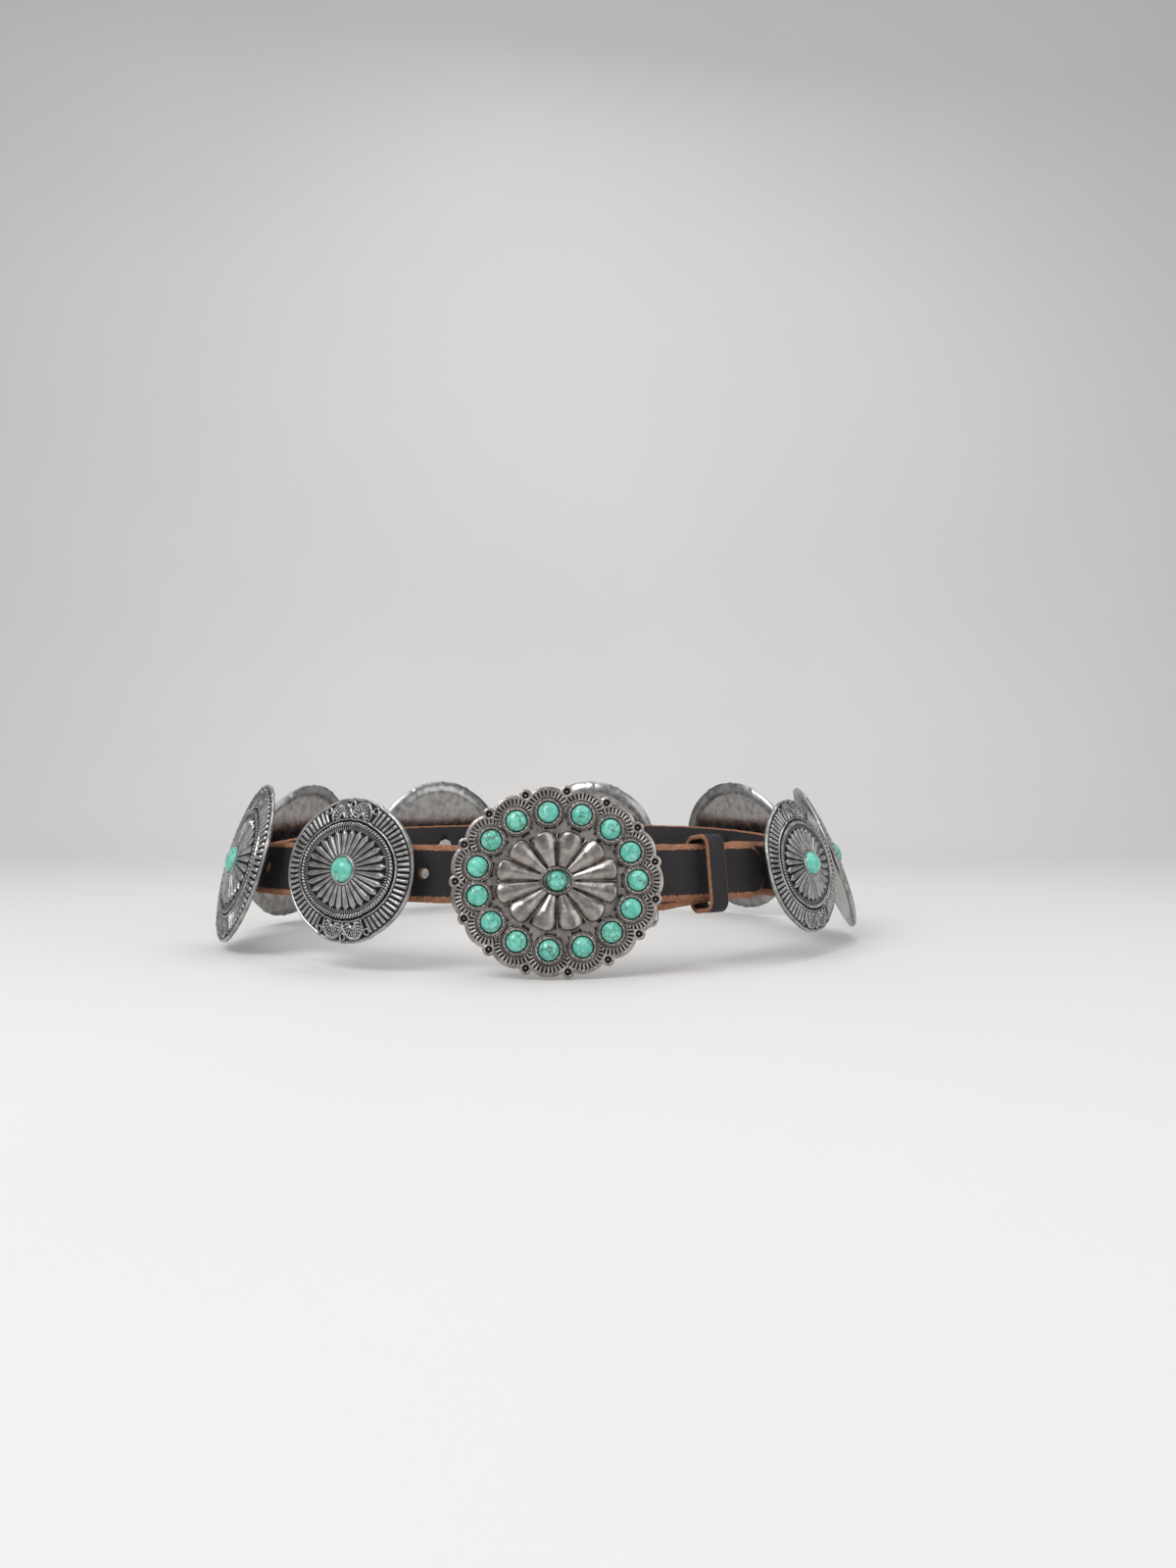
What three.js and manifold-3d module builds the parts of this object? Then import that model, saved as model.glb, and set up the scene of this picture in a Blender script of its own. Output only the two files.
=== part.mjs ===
// Concho belt, fastened as it is worn round a waist: a leather strap with a stone-set plate buckle in
// front, a loose leather keeper, and eight stone-set conchos held on by posts and screw heads.
// Millimetres, +Z up. The origin is the middle of the waist hollow at the strap's mid height. The
// front faces -Y. Azimuths turn from the front towards +X, and arc lengths run the same way from
// the buckle.
import * as THREE from 'three';
import Module from 'manifold-3d';

const wasm = await Module();
wasm.setup();

// Waist loop, taken at the middle of the strap's thickness
const WAIST_RADIUS = 137.9;
const WAIST_FLATNESS = 8.5;
const WAIST_SKEW = 2.35;
const WAIST_EGG = 2.04;
const LEAN_FRONT = 7;
const LEAN_SIDES = 15;
const SAG_SIDES = 4;

// Strap and keeper
const STRAP_WIDTH = 25;
const STRAP_THICKNESS = 3;
const BEVEL_WIDTH = 2.2;
const BEVEL_DEPTH = 1.2;
const STRAP_STATIONS = 60;
const TIP_TUCK = 13;
const UNDERLAY_RUN = 45;
const TIP_RADIUS = 8;
const FOLD_CLEARANCE = 2.6;
const UNDERLAY_DROP = 3.6;
const UNDERLAY_RISE = 1.3;
const RETURN_SHARE = 0.75;
const RETURN_DELAY = 2;
const HOLE_DIAMETER = 4.8;
const HOLE_PITCH = 26;
const HOOK_HOLE_AT = -32;
const HOLE_STEPS = [-1, 0, 1, 3, 4, 5];
const KEEPER_AT = 69.5;
const KEEPER_WIDTH = 9.3;
const KEEPER_WALL = 2;
const KEEPER_SLACK = 2.9;
const KEEPER_DEPTH = 13.5;
const KEEPER_EASE = 0.5;
const KEEPER_DROP = 0.85;
const KEEPER_CORNER = 3;
const RIVET_DIAMETER = 3;
const RIVET_HEAD = 7;
const RIVET_INSET = 4;

// Plate buckle, its stones, petals, wire bar and hook
const BUCKLE_AZIMUTH = 3.5;
const BUCKLE_DROP = 3;
const BUCKLE_LIFT = 6.8;
const PLATE_THICKNESS = 1.8;
const PLATE_CROWN = 0.9;
const STONE_COUNT = 15;
const STONE_RING = [34.1, 29.1];
const LOBE_RADIUS = 11.2;
const EYELET_RING = [42.7, 38.2];
const EYELET_RADIUS = 2.7;
const STONE_RADIUS = 4.3;
const BEZEL_RADIUS = 6.3;
const BEZEL_HEIGHT = 2.6;
const POCKET_DEPTH = 1.4;
const STONE_DOME = 2.8;
const PETAL_COUNT = 12;
const PETAL_RING = [26.7, 21.3];
const PETAL_SIZE = { inner: 6.4, half_inner: 1.3, half_outer: 4.5, rise: 3.4 };
const CENTRE_BEZEL = [7.65, 6];
const CENTRE_STONE_RADIUS = 4.1;
const BAR_WIRE = 3;
const BAR_HEIGHT = 40;
const BAR_AT = 46;
const BAR_CORNER = 4;
const HINGE_AT = 31;
const HINGE_HEIGHT = 2.2;
const HINGE_BLOCK = { width: 5.4, length: 16, wall: 1.05 };
const HOOK_DIAMETER = 3;
const HOOK_FOOT = { length: 4, thickness: 1.8 };

// Conchos, in order round the belt from the buckle's right
const SMALL = { width: 69, height: 63.5, stone: 11 };
const LARGE = { width: 83, height: 79.5, stone: 13.2 };
const CONCHO_DOME = 0.42;
const CONCHO_LIFT = 8.5;
const RIM_THICKNESS = 1.2;
const DOME_HEIGHT = 5.1;
const RAY_COUNT = 28;
const FLUTE_COUNT = 18;
const ROPE_SIDES = 20;
const POST_DIAMETER = 4;
const SCREW_HEAD = 9;
const SCREW_THICKNESS = 1.4;
const FIRST_RIGHT = 54;
const SECOND_RIGHT = 87;
const FIRST_LEFT = -27.5;
const SECOND_LEFT = -63;
const BACK_COUNT = 4;

// Clearance between neighbouring pieces
const GAP = 0.3;

// Concho rings from the seat to the rim. Across and up are shares of the half width and half height,
// height is a share of the dome above the rim's front edge, and every other point of a ring rises
// and reaches out by the last two shares.
const CONCHO_RINGS = [
  { across: 0.215, up: 0.222, height: 0.86, points: 2 * RAY_COUNT, ridge: 0.05, reach: 0 },
  { across: 0.545, up: 0.46, height: 0.4, points: 2 * RAY_COUNT, ridge: 0.26, reach: 0.045 },
  { across: 0.636, up: 0.542, height: 0.33, points: RAY_COUNT, ridge: 0, reach: 0 },
  { across: 0.705, up: 0.602, height: 0.32, points: ROPE_SIDES, ridge: 0, reach: 0 },
  { across: 0.762, up: 0.655, height: 0.56, points: ROPE_SIDES, ridge: 0, reach: 0 },
  { across: 0.82, up: 0.722, height: 0.27, points: 2 * FLUTE_COUNT, ridge: 0.2, reach: 0 },
  { across: 0.945, up: 0.9, height: 0.03, points: 2 * FLUTE_COUNT, ridge: 0.2, reach: 0 },
];
const RIM_UP = 0.975;
const LOBE_SWELL = 0.032;
const LOBE_MIDDLE = 19;
const LOBE_SPREAD = 18;

const SILVER = { color: 0x9b9792, roughness: 0.36, metalness: 1 };
const PEWTER = { color: 0x958c86, roughness: 0.34, metalness: 1 };
const STEEL = { color: 0xa8a6a3, roughness: 0.3, metalness: 1 };
const LEATHER = { color: 0x211c20, roughness: 0.72, metalness: 0 };
const TURQUOISE = { color: 0x5fcbb2, roughness: 0.28, metalness: 0 };

const radians = (degrees) => (degrees * Math.PI) / 180;
const belt = new THREE.Group();

// Waist loop: its support distance at an azimuth, and what follows from it

function supportDistance(azimuth) {
  return WAIST_RADIUS - WAIST_FLATNESS * Math.cos(2 * azimuth)
    - WAIST_SKEW * Math.sin(2 * azimuth) + WAIST_EGG * Math.sin(3 * azimuth);
}

function supportSlope(azimuth) {
  return 2 * WAIST_FLATNESS * Math.sin(2 * azimuth)
    - 2 * WAIST_SKEW * Math.cos(2 * azimuth) + 3 * WAIST_EGG * Math.cos(3 * azimuth);
}

function arcLength(azimuth) {
  return WAIST_RADIUS * azimuth + 1.5 * WAIST_FLATNESS * Math.sin(2 * azimuth)
    - 1.5 * WAIST_SKEW * Math.cos(2 * azimuth) + (8 / 3) * WAIST_EGG * Math.cos(3 * azimuth);
}

function bendRadius(azimuth) {
  return WAIST_RADIUS + 3 * WAIST_FLATNESS * Math.cos(2 * azimuth)
    + 3 * WAIST_SKEW * Math.sin(2 * azimuth) - 8 * WAIST_EGG * Math.sin(3 * azimuth);
}

const LOOP_LENGTH = 2 * Math.PI * WAIST_RADIUS;
const BUCKLE_ARC = arcLength(radians(BUCKLE_AZIMUTH));
const arcAt = (degrees) => arcLength(radians(degrees)) - BUCKLE_ARC;

// A place on the strap's middle surface, with the directions along, up and out of it.
function station(arc) {
  const wanted = arc + BUCKLE_ARC;
  let azimuth = wanted / WAIST_RADIUS;
  for (let round = 0; round < 12; round += 1) {
    azimuth -= (arcLength(azimuth) - wanted) / bendRadius(azimuth);
  }
  const side = Math.sin(azimuth) ** 4;
  const lean = radians(LEAN_FRONT + LEAN_SIDES * side);
  const level = new THREE.Vector3(Math.sin(azimuth), -Math.cos(azimuth), 0);
  const along = new THREE.Vector3(Math.cos(azimuth), Math.sin(azimuth), 0);
  const origin = level.clone().multiplyScalar(supportDistance(azimuth))
    .addScaledVector(along, supportSlope(azimuth));
  origin.z = -SAG_SIDES * side;
  const up = level.clone().multiplyScalar(-Math.sin(lean));
  up.z = Math.cos(lean);
  const out = level.clone().multiplyScalar(Math.cos(lean));
  out.z = Math.sin(lean);
  return { origin, along, up, out };
}

function pointAt(frame, along, up, out) {
  return frame.origin.clone().addScaledVector(frame.along, along)
    .addScaledVector(frame.up, up).addScaledVector(frame.out, out);
}

function localTo(frame, point) {
  const offset = point.clone().sub(frame.origin);
  return [offset.dot(frame.along), offset.dot(frame.up), offset.dot(frame.out)];
}

// Rings of points joined into one closed skin. A ring of one point is a pole.

function bridge(faces, first, firstCount, second, secondCount) {
  const firstSteps = firstCount > 1 ? firstCount : 0;
  const secondSteps = secondCount > 1 ? secondCount : 0;
  let i = 0;
  let j = 0;
  while (i < firstSteps || j < secondSteps) {
    const firstNext = i < firstSteps ? (i + 1) / firstSteps : Infinity;
    const secondNext = j < secondSteps ? (j + 1) / secondSteps : Infinity;
    const a = first + (i % firstCount);
    const b = second + (j % secondCount);
    if (secondNext <= firstNext) {
      faces.push([a, b, second + ((j + 1) % secondCount)]);
      j += 1;
    } else {
      faces.push([a, b, first + ((i + 1) % firstCount)]);
      i += 1;
    }
  }
}

// The same skin with its faces pointing out of it.
function facingOut({ points, faces }) {
  let volume = 0;
  faces.forEach(([a, b, c]) => {
    const [p, q, r] = [points[a], points[b], points[c]].map((point) => new THREE.Vector3(...point));
    volume += p.dot(q.cross(r));
  });
  return { points, faces: volume < 0 ? faces.map(([a, b, c]) => [a, c, b]) : faces };
}

function skin(rings, closed = false) {
  const points = rings.flat();
  const faces = [];
  let start = 0;
  rings.forEach((ring, index) => {
    const last = index === rings.length - 1;
    if (!last) {
      bridge(faces, start, ring.length, start + ring.length, rings[index + 1].length);
    } else if (closed) {
      bridge(faces, start, ring.length, 0, rings[0].length);
    }
    start += ring.length;
  });
  return facingOut({ points, faces });
}

function ellipse(points, across, up, height, centre = [0, 0]) {
  return Array.from({ length: points }, (unused, index) => {
    const turn = (2 * Math.PI * index) / points;
    return [centre[0] + across * Math.cos(turn), centre[1] + up * Math.sin(turn), height];
  });
}

function toSolid({ points, faces }) {
  return new wasm.Manifold(new wasm.Mesh({
    numProp: 3,
    vertProperties: new Float32Array(points.flat()),
    triVerts: new Uint32Array(faces.flat()),
  }));
}

function fromSolid(solid) {
  const mesh = solid.getMesh();
  const points = [];
  const faces = [];
  for (let index = 0; index < mesh.vertProperties.length; index += mesh.numProp) {
    points.push(Array.from(mesh.vertProperties.slice(index, index + 3)));
  }
  for (let index = 0; index < mesh.triVerts.length; index += 3) {
    faces.push(Array.from(mesh.triVerts.slice(index, index + 3)));
  }
  return { points, faces };
}

function addPiece(name, { points, faces }, look, frame) {
  const placed = frame ? points.map((point) => pointAt(frame, ...point).toArray()) : points;
  const geometry = new THREE.BufferGeometry();
  geometry.setAttribute('position', new THREE.Float32BufferAttribute(placed.flat(), 3));
  geometry.setIndex(faces.flat());
  geometry.computeVertexNormals();
  const mesh = new THREE.Mesh(geometry, new THREE.MeshStandardMaterial(look));
  mesh.name = name;
  belt.add(mesh);
}

function rod(radius, bottom, top, centre = [0, 0], sides = 8) {
  return skin([
    [[...centre, top]],
    ellipse(sides, radius, radius, top, centre),
    ellipse(sides, radius, radius, bottom, centre),
    [[...centre, bottom]],
  ]);
}

function block(low, high) {
  const ring = (height) => [
    [low[0], low[1], height], [high[0], low[1], height],
    [high[0], high[1], height], [low[0], high[1], height],
  ];
  const middle = [(low[0] + high[0]) / 2, (low[1] + high[1]) / 2];
  return skin([[[...middle, high[2]]], ring(high[2]), ring(low[2]), [[...middle, low[2]]]]);
}

function cabochon(radius, dome, bottom, sides) {
  return skin([
    [[0, 0, bottom + dome]],
    ellipse(sides, radius * 0.78, radius * 0.78, bottom + dome * 0.72),
    ellipse(sides, radius, radius, bottom),
    [[0, 0, bottom]],
  ]);
}

// Strap: one ribbon from the folded end, round the bar and the waist, to the tail's tip

const HALF = STRAP_THICKNESS / 2;
const LAYER = STRAP_THICKNESS + GAP;
const WIRE_WRAP = (BAR_WIRE + STRAP_THICKNESS) / 2 + GAP;
const WIRE_DEPTH = -LAYER - WIRE_WRAP;
const FOLD_LENGTH = KEEPER_AT - KEEPER_WIDTH / 2 - FOLD_CLEARANCE - BAR_AT;
const FIRST_ARC = arcAt(FIRST_RIGHT);
const TAIL_LENGTH = FIRST_ARC - SMALL.width / 2 + TIP_TUCK;
const RETURN_RUN = (FIRST_ARC - SCREW_HEAD / 2 - TAIL_LENGTH) * RETURN_SHARE;

const smooth = (share) => {
  const held = Math.min(1, Math.max(0, share));
  return held * held * (3 - 2 * held);
};

// The layer under the tail lies one thickness in, starts low at the bar and ends a little high.
function underlay(arc) {
  const under = Math.min(1, Math.max(0, (arc - BAR_AT) / UNDERLAY_RUN));
  const back = smooth((arc - TAIL_LENGTH - RETURN_DELAY) / RETURN_RUN);
  const height = -UNDERLAY_DROP + (UNDERLAY_DROP + UNDERLAY_RISE) * under;
  return { out: -LAYER * (1 - back), up: height * (1 - back) };
}

function strapPath() {
  const path = [];
  const step = LOOP_LENGTH / STRAP_STATIONS;
  const add = (arc, out, up, half = STRAP_WIDTH / 2) => path.push({ arc, out, up, half });
  const bar = underlay(BAR_AT);
  const foldRun = FOLD_LENGTH - 2 * WIRE_WRAP;
  for (const share of [1, 0.66, 0.33, 0]) {
    const arc = BAR_AT + 2 * WIRE_WRAP + foldRun * share;
    add(arc, -2 * LAYER, underlay(arc).up);
  }
  add(BAR_AT + 1.1 * WIRE_WRAP, -1.6 * LAYER - 0.8 * WIRE_WRAP, bar.up);
  for (let turn = 0; turn <= 6; turn += 1) {
    const angle = (Math.PI * turn) / 6;
    const along = BAR_AT - WIRE_WRAP * Math.sin(angle);
    add(along, WIRE_DEPTH - WIRE_WRAP * Math.cos(angle), bar.up);
  }
  const tipStart = LOOP_LENGTH + TAIL_LENGTH - TIP_RADIUS - 1;
  const count = Math.ceil(tipStart / step);
  const even = Array.from({ length: count }, (unused, index) => index * step);
  const bends = [TAIL_LENGTH + RETURN_DELAY, TAIL_LENGTH + RETURN_DELAY + RETURN_RUN];
  const apart = (arc) => arc > BAR_AT + 1 && bends.every((bend) => Math.abs(arc - bend) > 3);
  const arcs = [...even.filter(apart), ...bends].sort((first, second) => first - second);
  arcs.forEach((arc) => {
    const under = arc < LOOP_LENGTH / 2 ? underlay(arc) : { out: 0, up: 0 };
    add(arc, under.out, under.up);
  });
  for (const share of [1, 0.55, 0.25, 0.07, 0]) {
    const round = TIP_RADIUS * (1 - Math.sqrt(1 - (1 - share) ** 2));
    add(LOOP_LENGTH + TAIL_LENGTH - TIP_RADIUS * share, 0, 0, STRAP_WIDTH / 2 - round);
  }
  return path;
}

function strapRing(centre, heading, up, half) {
  const face = heading.clone().cross(up).normalize();
  const edge = face.clone().cross(heading).normalize();
  const shoulder = half - BEVEL_WIDTH;
  const section = [
    [-half, -HALF], [half, -HALF], [half, HALF - BEVEL_DEPTH],
    [shoulder, HALF], [-shoulder, HALF], [-half, HALF - BEVEL_DEPTH],
  ];
  return section.map(([high, out]) => centre.clone().addScaledVector(edge, high)
    .addScaledVector(face, out).toArray());
}

function strapSolid() {
  const path = strapPath();
  const centres = path.map(({ arc, out, up }) => pointAt(station(arc), 0, up, out));
  const rings = path.map(({ arc, half }, index) => {
    const before = centres[Math.max(0, index - 1)];
    const after = centres[Math.min(path.length - 1, index + 1)];
    return strapRing(centres[index], after.clone().sub(before).normalize(), station(arc).up, half);
  });
  const end = path.length - 1;
  const closed = skin([[centres[0].toArray()], ...rings, [centres[end].toArray()]]);
  let solid = toSolid(closed);
  const cut = (arc, diameter, low, high, up = 0) => {
    const tool = rod(diameter / 2, low, high, [0, up]);
    const frame = station(arc);
    tool.points = tool.points.map((point) => pointAt(frame, ...point).toArray());
    solid = solid.subtract(toSolid(tool));
  };
  HOLE_STEPS.forEach((index) => {
    cut(HOOK_HOLE_AT - index * HOLE_PITCH, HOLE_DIAMETER, -2 * HALF, 2 * HALF);
  });
  conchos.forEach(({ arc }) => cut(arc, POST_DIAMETER + 2 * GAP, -2 * HALF, 2 * HALF));
  cut(RIVET_AT, RIVET_DIAMETER + 2 * GAP, -3 * LAYER, -HALF - GAP / 2, underlay(RIVET_AT).up);
  return fromSolid(solid);
}

// Keeper: a loose band round both layers of the strap

function keeperSolid() {
  const high = STRAP_WIDTH / 2 + KEEPER_SLACK;
  const deep = KEEPER_DEPTH / 2;
  const middle = KEEPER_DEPTH / 2 - LAYER - HALF - GAP - KEEPER_EASE;
  const rings = [];
  [[1, 1], [-1, 1], [-1, -1], [1, -1]].forEach(([upSide, outSide], corner) => {
    for (let step = 0; step < 4; step += 1) {
      const turn = (Math.PI / 2) * (corner + step / 3);
      const direction = [Math.cos(turn), Math.sin(turn)];
      const base = [upSide * (high - KEEPER_CORNER), outSide * (deep - KEEPER_CORNER)];
      const at = (radius) => [
        base[0] + radius * direction[0] - KEEPER_DROP, base[1] + radius * direction[1] + middle,
      ];
      const inner = at(KEEPER_CORNER);
      const outer = at(KEEPER_CORNER + KEEPER_WALL);
      const half = KEEPER_WIDTH / 2;
      rings.push([[half, ...inner], [half, ...outer], [-half, ...outer], [-half, ...inner]]);
    }
  });
  return skin(rings, true);
}

// Buckle: a lobed plate with bezels and petals, and behind it a hinge block and a hook

const buckleFrame = station(0);
const onRing = (ring, degrees) => [
  ring[0] * Math.cos(radians(degrees)), ring[1] * Math.sin(radians(degrees)),
];
const STONE_STEP = 360 / STONE_COUNT;
const plateFace = BUCKLE_LIFT + PLATE_THICKNESS;

// How far a ray from the plate's middle reaches inside a circle round the given centre.
function rayReach(direction, centre, radius) {
  const along = direction[0] * centre[0] + direction[1] * centre[1];
  const aside = direction[0] * centre[1] - direction[1] * centre[0];
  return Math.abs(aside) < radius ? along + Math.sqrt(radius ** 2 - aside ** 2) : 0;
}

function plateOutline(height) {
  const shares = [-0.27, 0, 0.27, 0.44, 0.56];
  const ring = [];
  for (let index = 0; index < STONE_COUNT; index += 1) {
    shares.forEach((share) => {
      const point = onRing(EYELET_RING, (index + share) * STONE_STEP);
      const length = Math.hypot(...point);
      const direction = point.map((value) => value / length);
      let reach = 0;
      for (let near = index - 1; near <= index + 1; near += 1) {
        const lobe = onRing(STONE_RING, near * STONE_STEP);
        const eyelet = onRing(EYELET_RING, (near + 0.5) * STONE_STEP);
        reach = Math.max(reach, rayReach(direction, lobe, LOBE_RADIUS));
        reach = Math.max(reach, rayReach(direction, eyelet, EYELET_RADIUS));
      }
      ring.push([direction[0] * reach, direction[1] * reach - BUCKLE_DROP, height]);
    });
  }
  return ring;
}

function bezelSolid(outer, pocket, centre, sides) {
  const top = plateFace + BEZEL_HEIGHT;
  const floor = top - POCKET_DEPTH;
  return skin([
    [[...centre, floor]],
    ellipse(sides, pocket, pocket, floor, centre),
    ellipse(sides, pocket, pocket, top, centre),
    ellipse(sides, outer[0], outer[1], top, centre),
    ellipse(sides, outer[0], outer[1], BUCKLE_LIFT + PLATE_THICKNESS / 2, centre),
    [[...centre, BUCKLE_LIFT + PLATE_THICKNESS / 2]],
  ]);
}

// One domed petal, with its narrow end towards the plate's middle.
function petalSolid(degrees) {
  const tip = onRing(PETAL_RING, degrees);
  const length = Math.hypot(...tip);
  const ahead = tip.map((value) => value / length);
  const aside = [-ahead[1], ahead[0]];
  const { inner, half_inner: narrow, half_outer: wide, rise } = PETAL_SIZE;
  const outline = [
    [length, 0.45], [length - wide * 0.8, 1], [inner, narrow / wide],
    [inner, -narrow / wide], [length - wide * 0.8, -1], [length, -0.45],
  ];
  const low = plateFace - PLATE_THICKNESS / 2;
  const at = ([reach, spread], inward, share, height) => {
    const middle = inner + (length - inner) * 0.62;
    const run = middle + (reach - middle) * inward;
    const offset = spread * wide * share;
    return [
      run * ahead[0] + offset * aside[0],
      run * ahead[1] + offset * aside[1] - BUCKLE_DROP,
      height,
    ];
  };
  return skin([
    [at([inner + (length - inner) * 0.7, 0], 1, 0, plateFace + rise)],
    outline.map((row) => at(row, 0.86, 0.62, plateFace + rise * 0.82)),
    outline.map((row) => at(row, 1, 1, low)),
    [at([inner + (length - inner) * 0.62, 0], 1, 0, low)],
  ]);
}

function hookSolid() {
  const hole = localTo(buckleFrame, pointAt(station(HOOK_HOLE_AT), 0, 0, 0));
  const back = hole[2] - HALF - 3 * GAP - HOOK_FOOT.thickness;
  const foot = block(
    [hole[0] - HOOK_FOOT.length, hole[1] - HOOK_DIAMETER / 2, back - HOOK_FOOT.thickness / 2],
    [hole[0] + HOOK_DIAMETER / 2, hole[1] + HOOK_DIAMETER / 2, back + HOOK_FOOT.thickness / 2],
  );
  const peg = rod(HOOK_DIAMETER / 2, back, BUCKLE_LIFT + PLATE_THICKNESS / 2, [hole[0], hole[1]], 8);
  return toSolid(peg).add(toSolid(foot));
}

function hingeSolid() {
  const { width, length, wall } = HINGE_BLOCK;
  const bottom = HINGE_HEIGHT - BAR_WIRE / 2 - GAP - wall;
  const body = block(
    [HINGE_AT - width / 2, -BUCKLE_DROP - length / 2, bottom],
    [HINGE_AT + width / 2, -BUCKLE_DROP + length / 2, BUCKLE_LIFT + PLATE_THICKNESS / 2],
  );
  const bore = rod(BAR_WIRE / 2 + GAP, -length, length);
  bore.points = bore.points.map(([x, y, z]) => [HINGE_AT + x, z - BUCKLE_DROP, HINGE_HEIGHT - y]);
  return toSolid(body).subtract(toSolid(bore));
}

function buckleSolid() {
  const flat = PLATE_CROWN + plateFace;
  let solid = toSolid(skin([
    [[0, -BUCKLE_DROP, flat]],
    ellipse(24, PETAL_RING[0], PETAL_RING[1], flat, [0, -BUCKLE_DROP]),
    plateOutline(plateFace),
    plateOutline(BUCKLE_LIFT),
    [[0, -BUCKLE_DROP, BUCKLE_LIFT]],
  ]));
  for (let index = 0; index < PETAL_COUNT; index += 1) {
    solid = solid.add(toSolid(petalSolid((index + 0.5) * (360 / PETAL_COUNT))));
  }
  stoneSeats.forEach(({ outer, radius, centre }) => {
    solid = solid.add(toSolid(bezelSolid(outer, radius + GAP, centre, 8)));
  });
  return fromSolid(solid.add(hookSolid()).add(hingeSolid()));
}

const stoneSeats = Array.from({ length: STONE_COUNT }, (unused, index) => {
  const [across, up] = onRing(STONE_RING, index * STONE_STEP);
  const outer = [BEZEL_RADIUS, BEZEL_RADIUS];
  const centre = [across, up - BUCKLE_DROP];
  return { name: `buckle_stone_${index + 1}`, outer, radius: STONE_RADIUS, centre };
});
stoneSeats.push({
  name: 'buckle_stone_centre',
  outer: CENTRE_BEZEL,
  radius: CENTRE_STONE_RADIUS,
  centre: [0, -BUCKLE_DROP],
});

// Bar: a wire loop hinged on the buckle, with the strap folded round its free side

function barSolid() {
  const reach = (BAR_HEIGHT - BAR_WIRE) / 2;
  const free = station(BAR_AT);
  const barUp = underlay(BAR_AT).up;
  const corners = [
    pointAt(buckleFrame, HINGE_AT, -BUCKLE_DROP - reach, HINGE_HEIGHT),
    pointAt(free, 0, barUp - reach, WIRE_DEPTH),
    pointAt(free, 0, barUp + reach, WIRE_DEPTH),
    pointAt(buckleFrame, HINGE_AT, -BUCKLE_DROP + reach, HINGE_HEIGHT),
  ];
  const path = [];
  corners.forEach((corner, index) => {
    const before = corners[(index + 3) % 4].clone().sub(corner).setLength(BAR_CORNER).add(corner);
    const after = corners[(index + 1) % 4].clone().sub(corner).setLength(BAR_CORNER).add(corner);
    const bend = new THREE.QuadraticBezierCurve3(before, corner, after);
    [0, 0.5, 1].forEach((share) => path.push(bend.getPoint(share)));
  });
  const middle = corners.reduce((sum, corner) => sum.add(corner), new THREE.Vector3()).multiplyScalar(0.25);
  const face = corners[1].clone().sub(corners[0]).cross(corners[3].clone().sub(corners[0])).normalize();
  const rings = path.map((point, index) => {
    const before = path[(index + path.length - 1) % path.length];
    const heading = path[(index + 1) % path.length].clone().sub(before).normalize();
    const side = heading.clone().cross(face).normalize();
    if (side.dot(point.clone().sub(middle)) < 0) side.negate();
    const top = side.clone().cross(heading).normalize();
    return Array.from({ length: 6 }, (unused, spoke) => {
      const turn = (Math.PI * spoke) / 3;
      return point.clone().addScaledVector(side, (BAR_WIRE / 2) * Math.cos(turn))
        .addScaledVector(top, (BAR_WIRE / 2) * Math.sin(turn)).toArray();
    });
  });
  return skin(rings, true);
}

// Conchos

const backStart = arcAt(SECOND_RIGHT);
const backEnd = LOOP_LENGTH + arcAt(SECOND_LEFT);
const conchos = [
  { arc: FIRST_ARC, size: SMALL },
  { arc: backStart, size: LARGE },
  ...Array.from({ length: BACK_COUNT }, (unused, index) => (
    { arc: backStart + ((backEnd - backStart) * (index + 1)) / (BACK_COUNT + 1), size: LARGE }
  )),
  { arc: backEnd, size: LARGE },
  { arc: LOOP_LENGTH + arcAt(FIRST_LEFT), size: SMALL },
];
const RIVET_AT = BAR_AT + FOLD_LENGTH - RIVET_INSET;

// The rim is an ellipse with two shallow lobes at its top and two at its bottom.
function rimRing(size, height) {
  const points = 2 * FLUTE_COUNT;
  return Array.from({ length: points }, (unused, index) => {
    const turn = (2 * Math.PI * index) / points;
    const fromTop = Math.abs(Math.asin(Math.abs(Math.cos(turn)))) * (180 / Math.PI);
    const aside = Math.min(1, Math.abs(fromTop - LOBE_MIDDLE) / LOBE_SPREAD);
    const swell = 1 + LOBE_SWELL * Math.cos((Math.PI / 2) * aside);
    return [
      (size.width / 2) * Math.cos(turn) * swell,
      (size.height / 2) * RIM_UP * swell * Math.sin(turn),
      height,
    ];
  });
}

function conchoSolid(size) {
  const scale = size.width / SMALL.width;
  const dome = DOME_HEIGHT * scale;
  const seat = size.stone / 2 + GAP;
  const lip = RIM_THICKNESS + dome;
  const rings = CONCHO_RINGS.map((row) => Array.from({ length: row.points }, (unused, index) => {
    const turn = (2 * Math.PI * index) / row.points;
    const raised = index % 2 === 0 ? 1 : 0;
    const across = (row.across + row.reach * raised) * (size.width / 2);
    const up = (row.up + row.reach * raised) * (size.height / 2);
    const height = RIM_THICKNESS + dome * (row.height + row.ridge * raised);
    return [across * Math.cos(turn), up * Math.sin(turn), height];
  }));
  const back = -CONCHO_LIFT - HALF - GAP;
  return skin([
    [[0, 0, lip - POCKET_DEPTH]],
    ellipse(10, seat, seat, lip - POCKET_DEPTH),
    ellipse(10, seat, seat, lip),
    ...rings,
    rimRing(size, RIM_THICKNESS),
    rimRing(size, 0),
    ellipse(12, size.width * 0.12, size.width * 0.11, RIM_THICKNESS + dome * 0.3),
    ellipse(8, POST_DIAMETER / 2, POST_DIAMETER / 2, RIM_THICKNESS + dome * 0.32),
    ellipse(8, POST_DIAMETER / 2, POST_DIAMETER / 2, back),
    [[0, 0, back]],
  ]);
}

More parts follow.
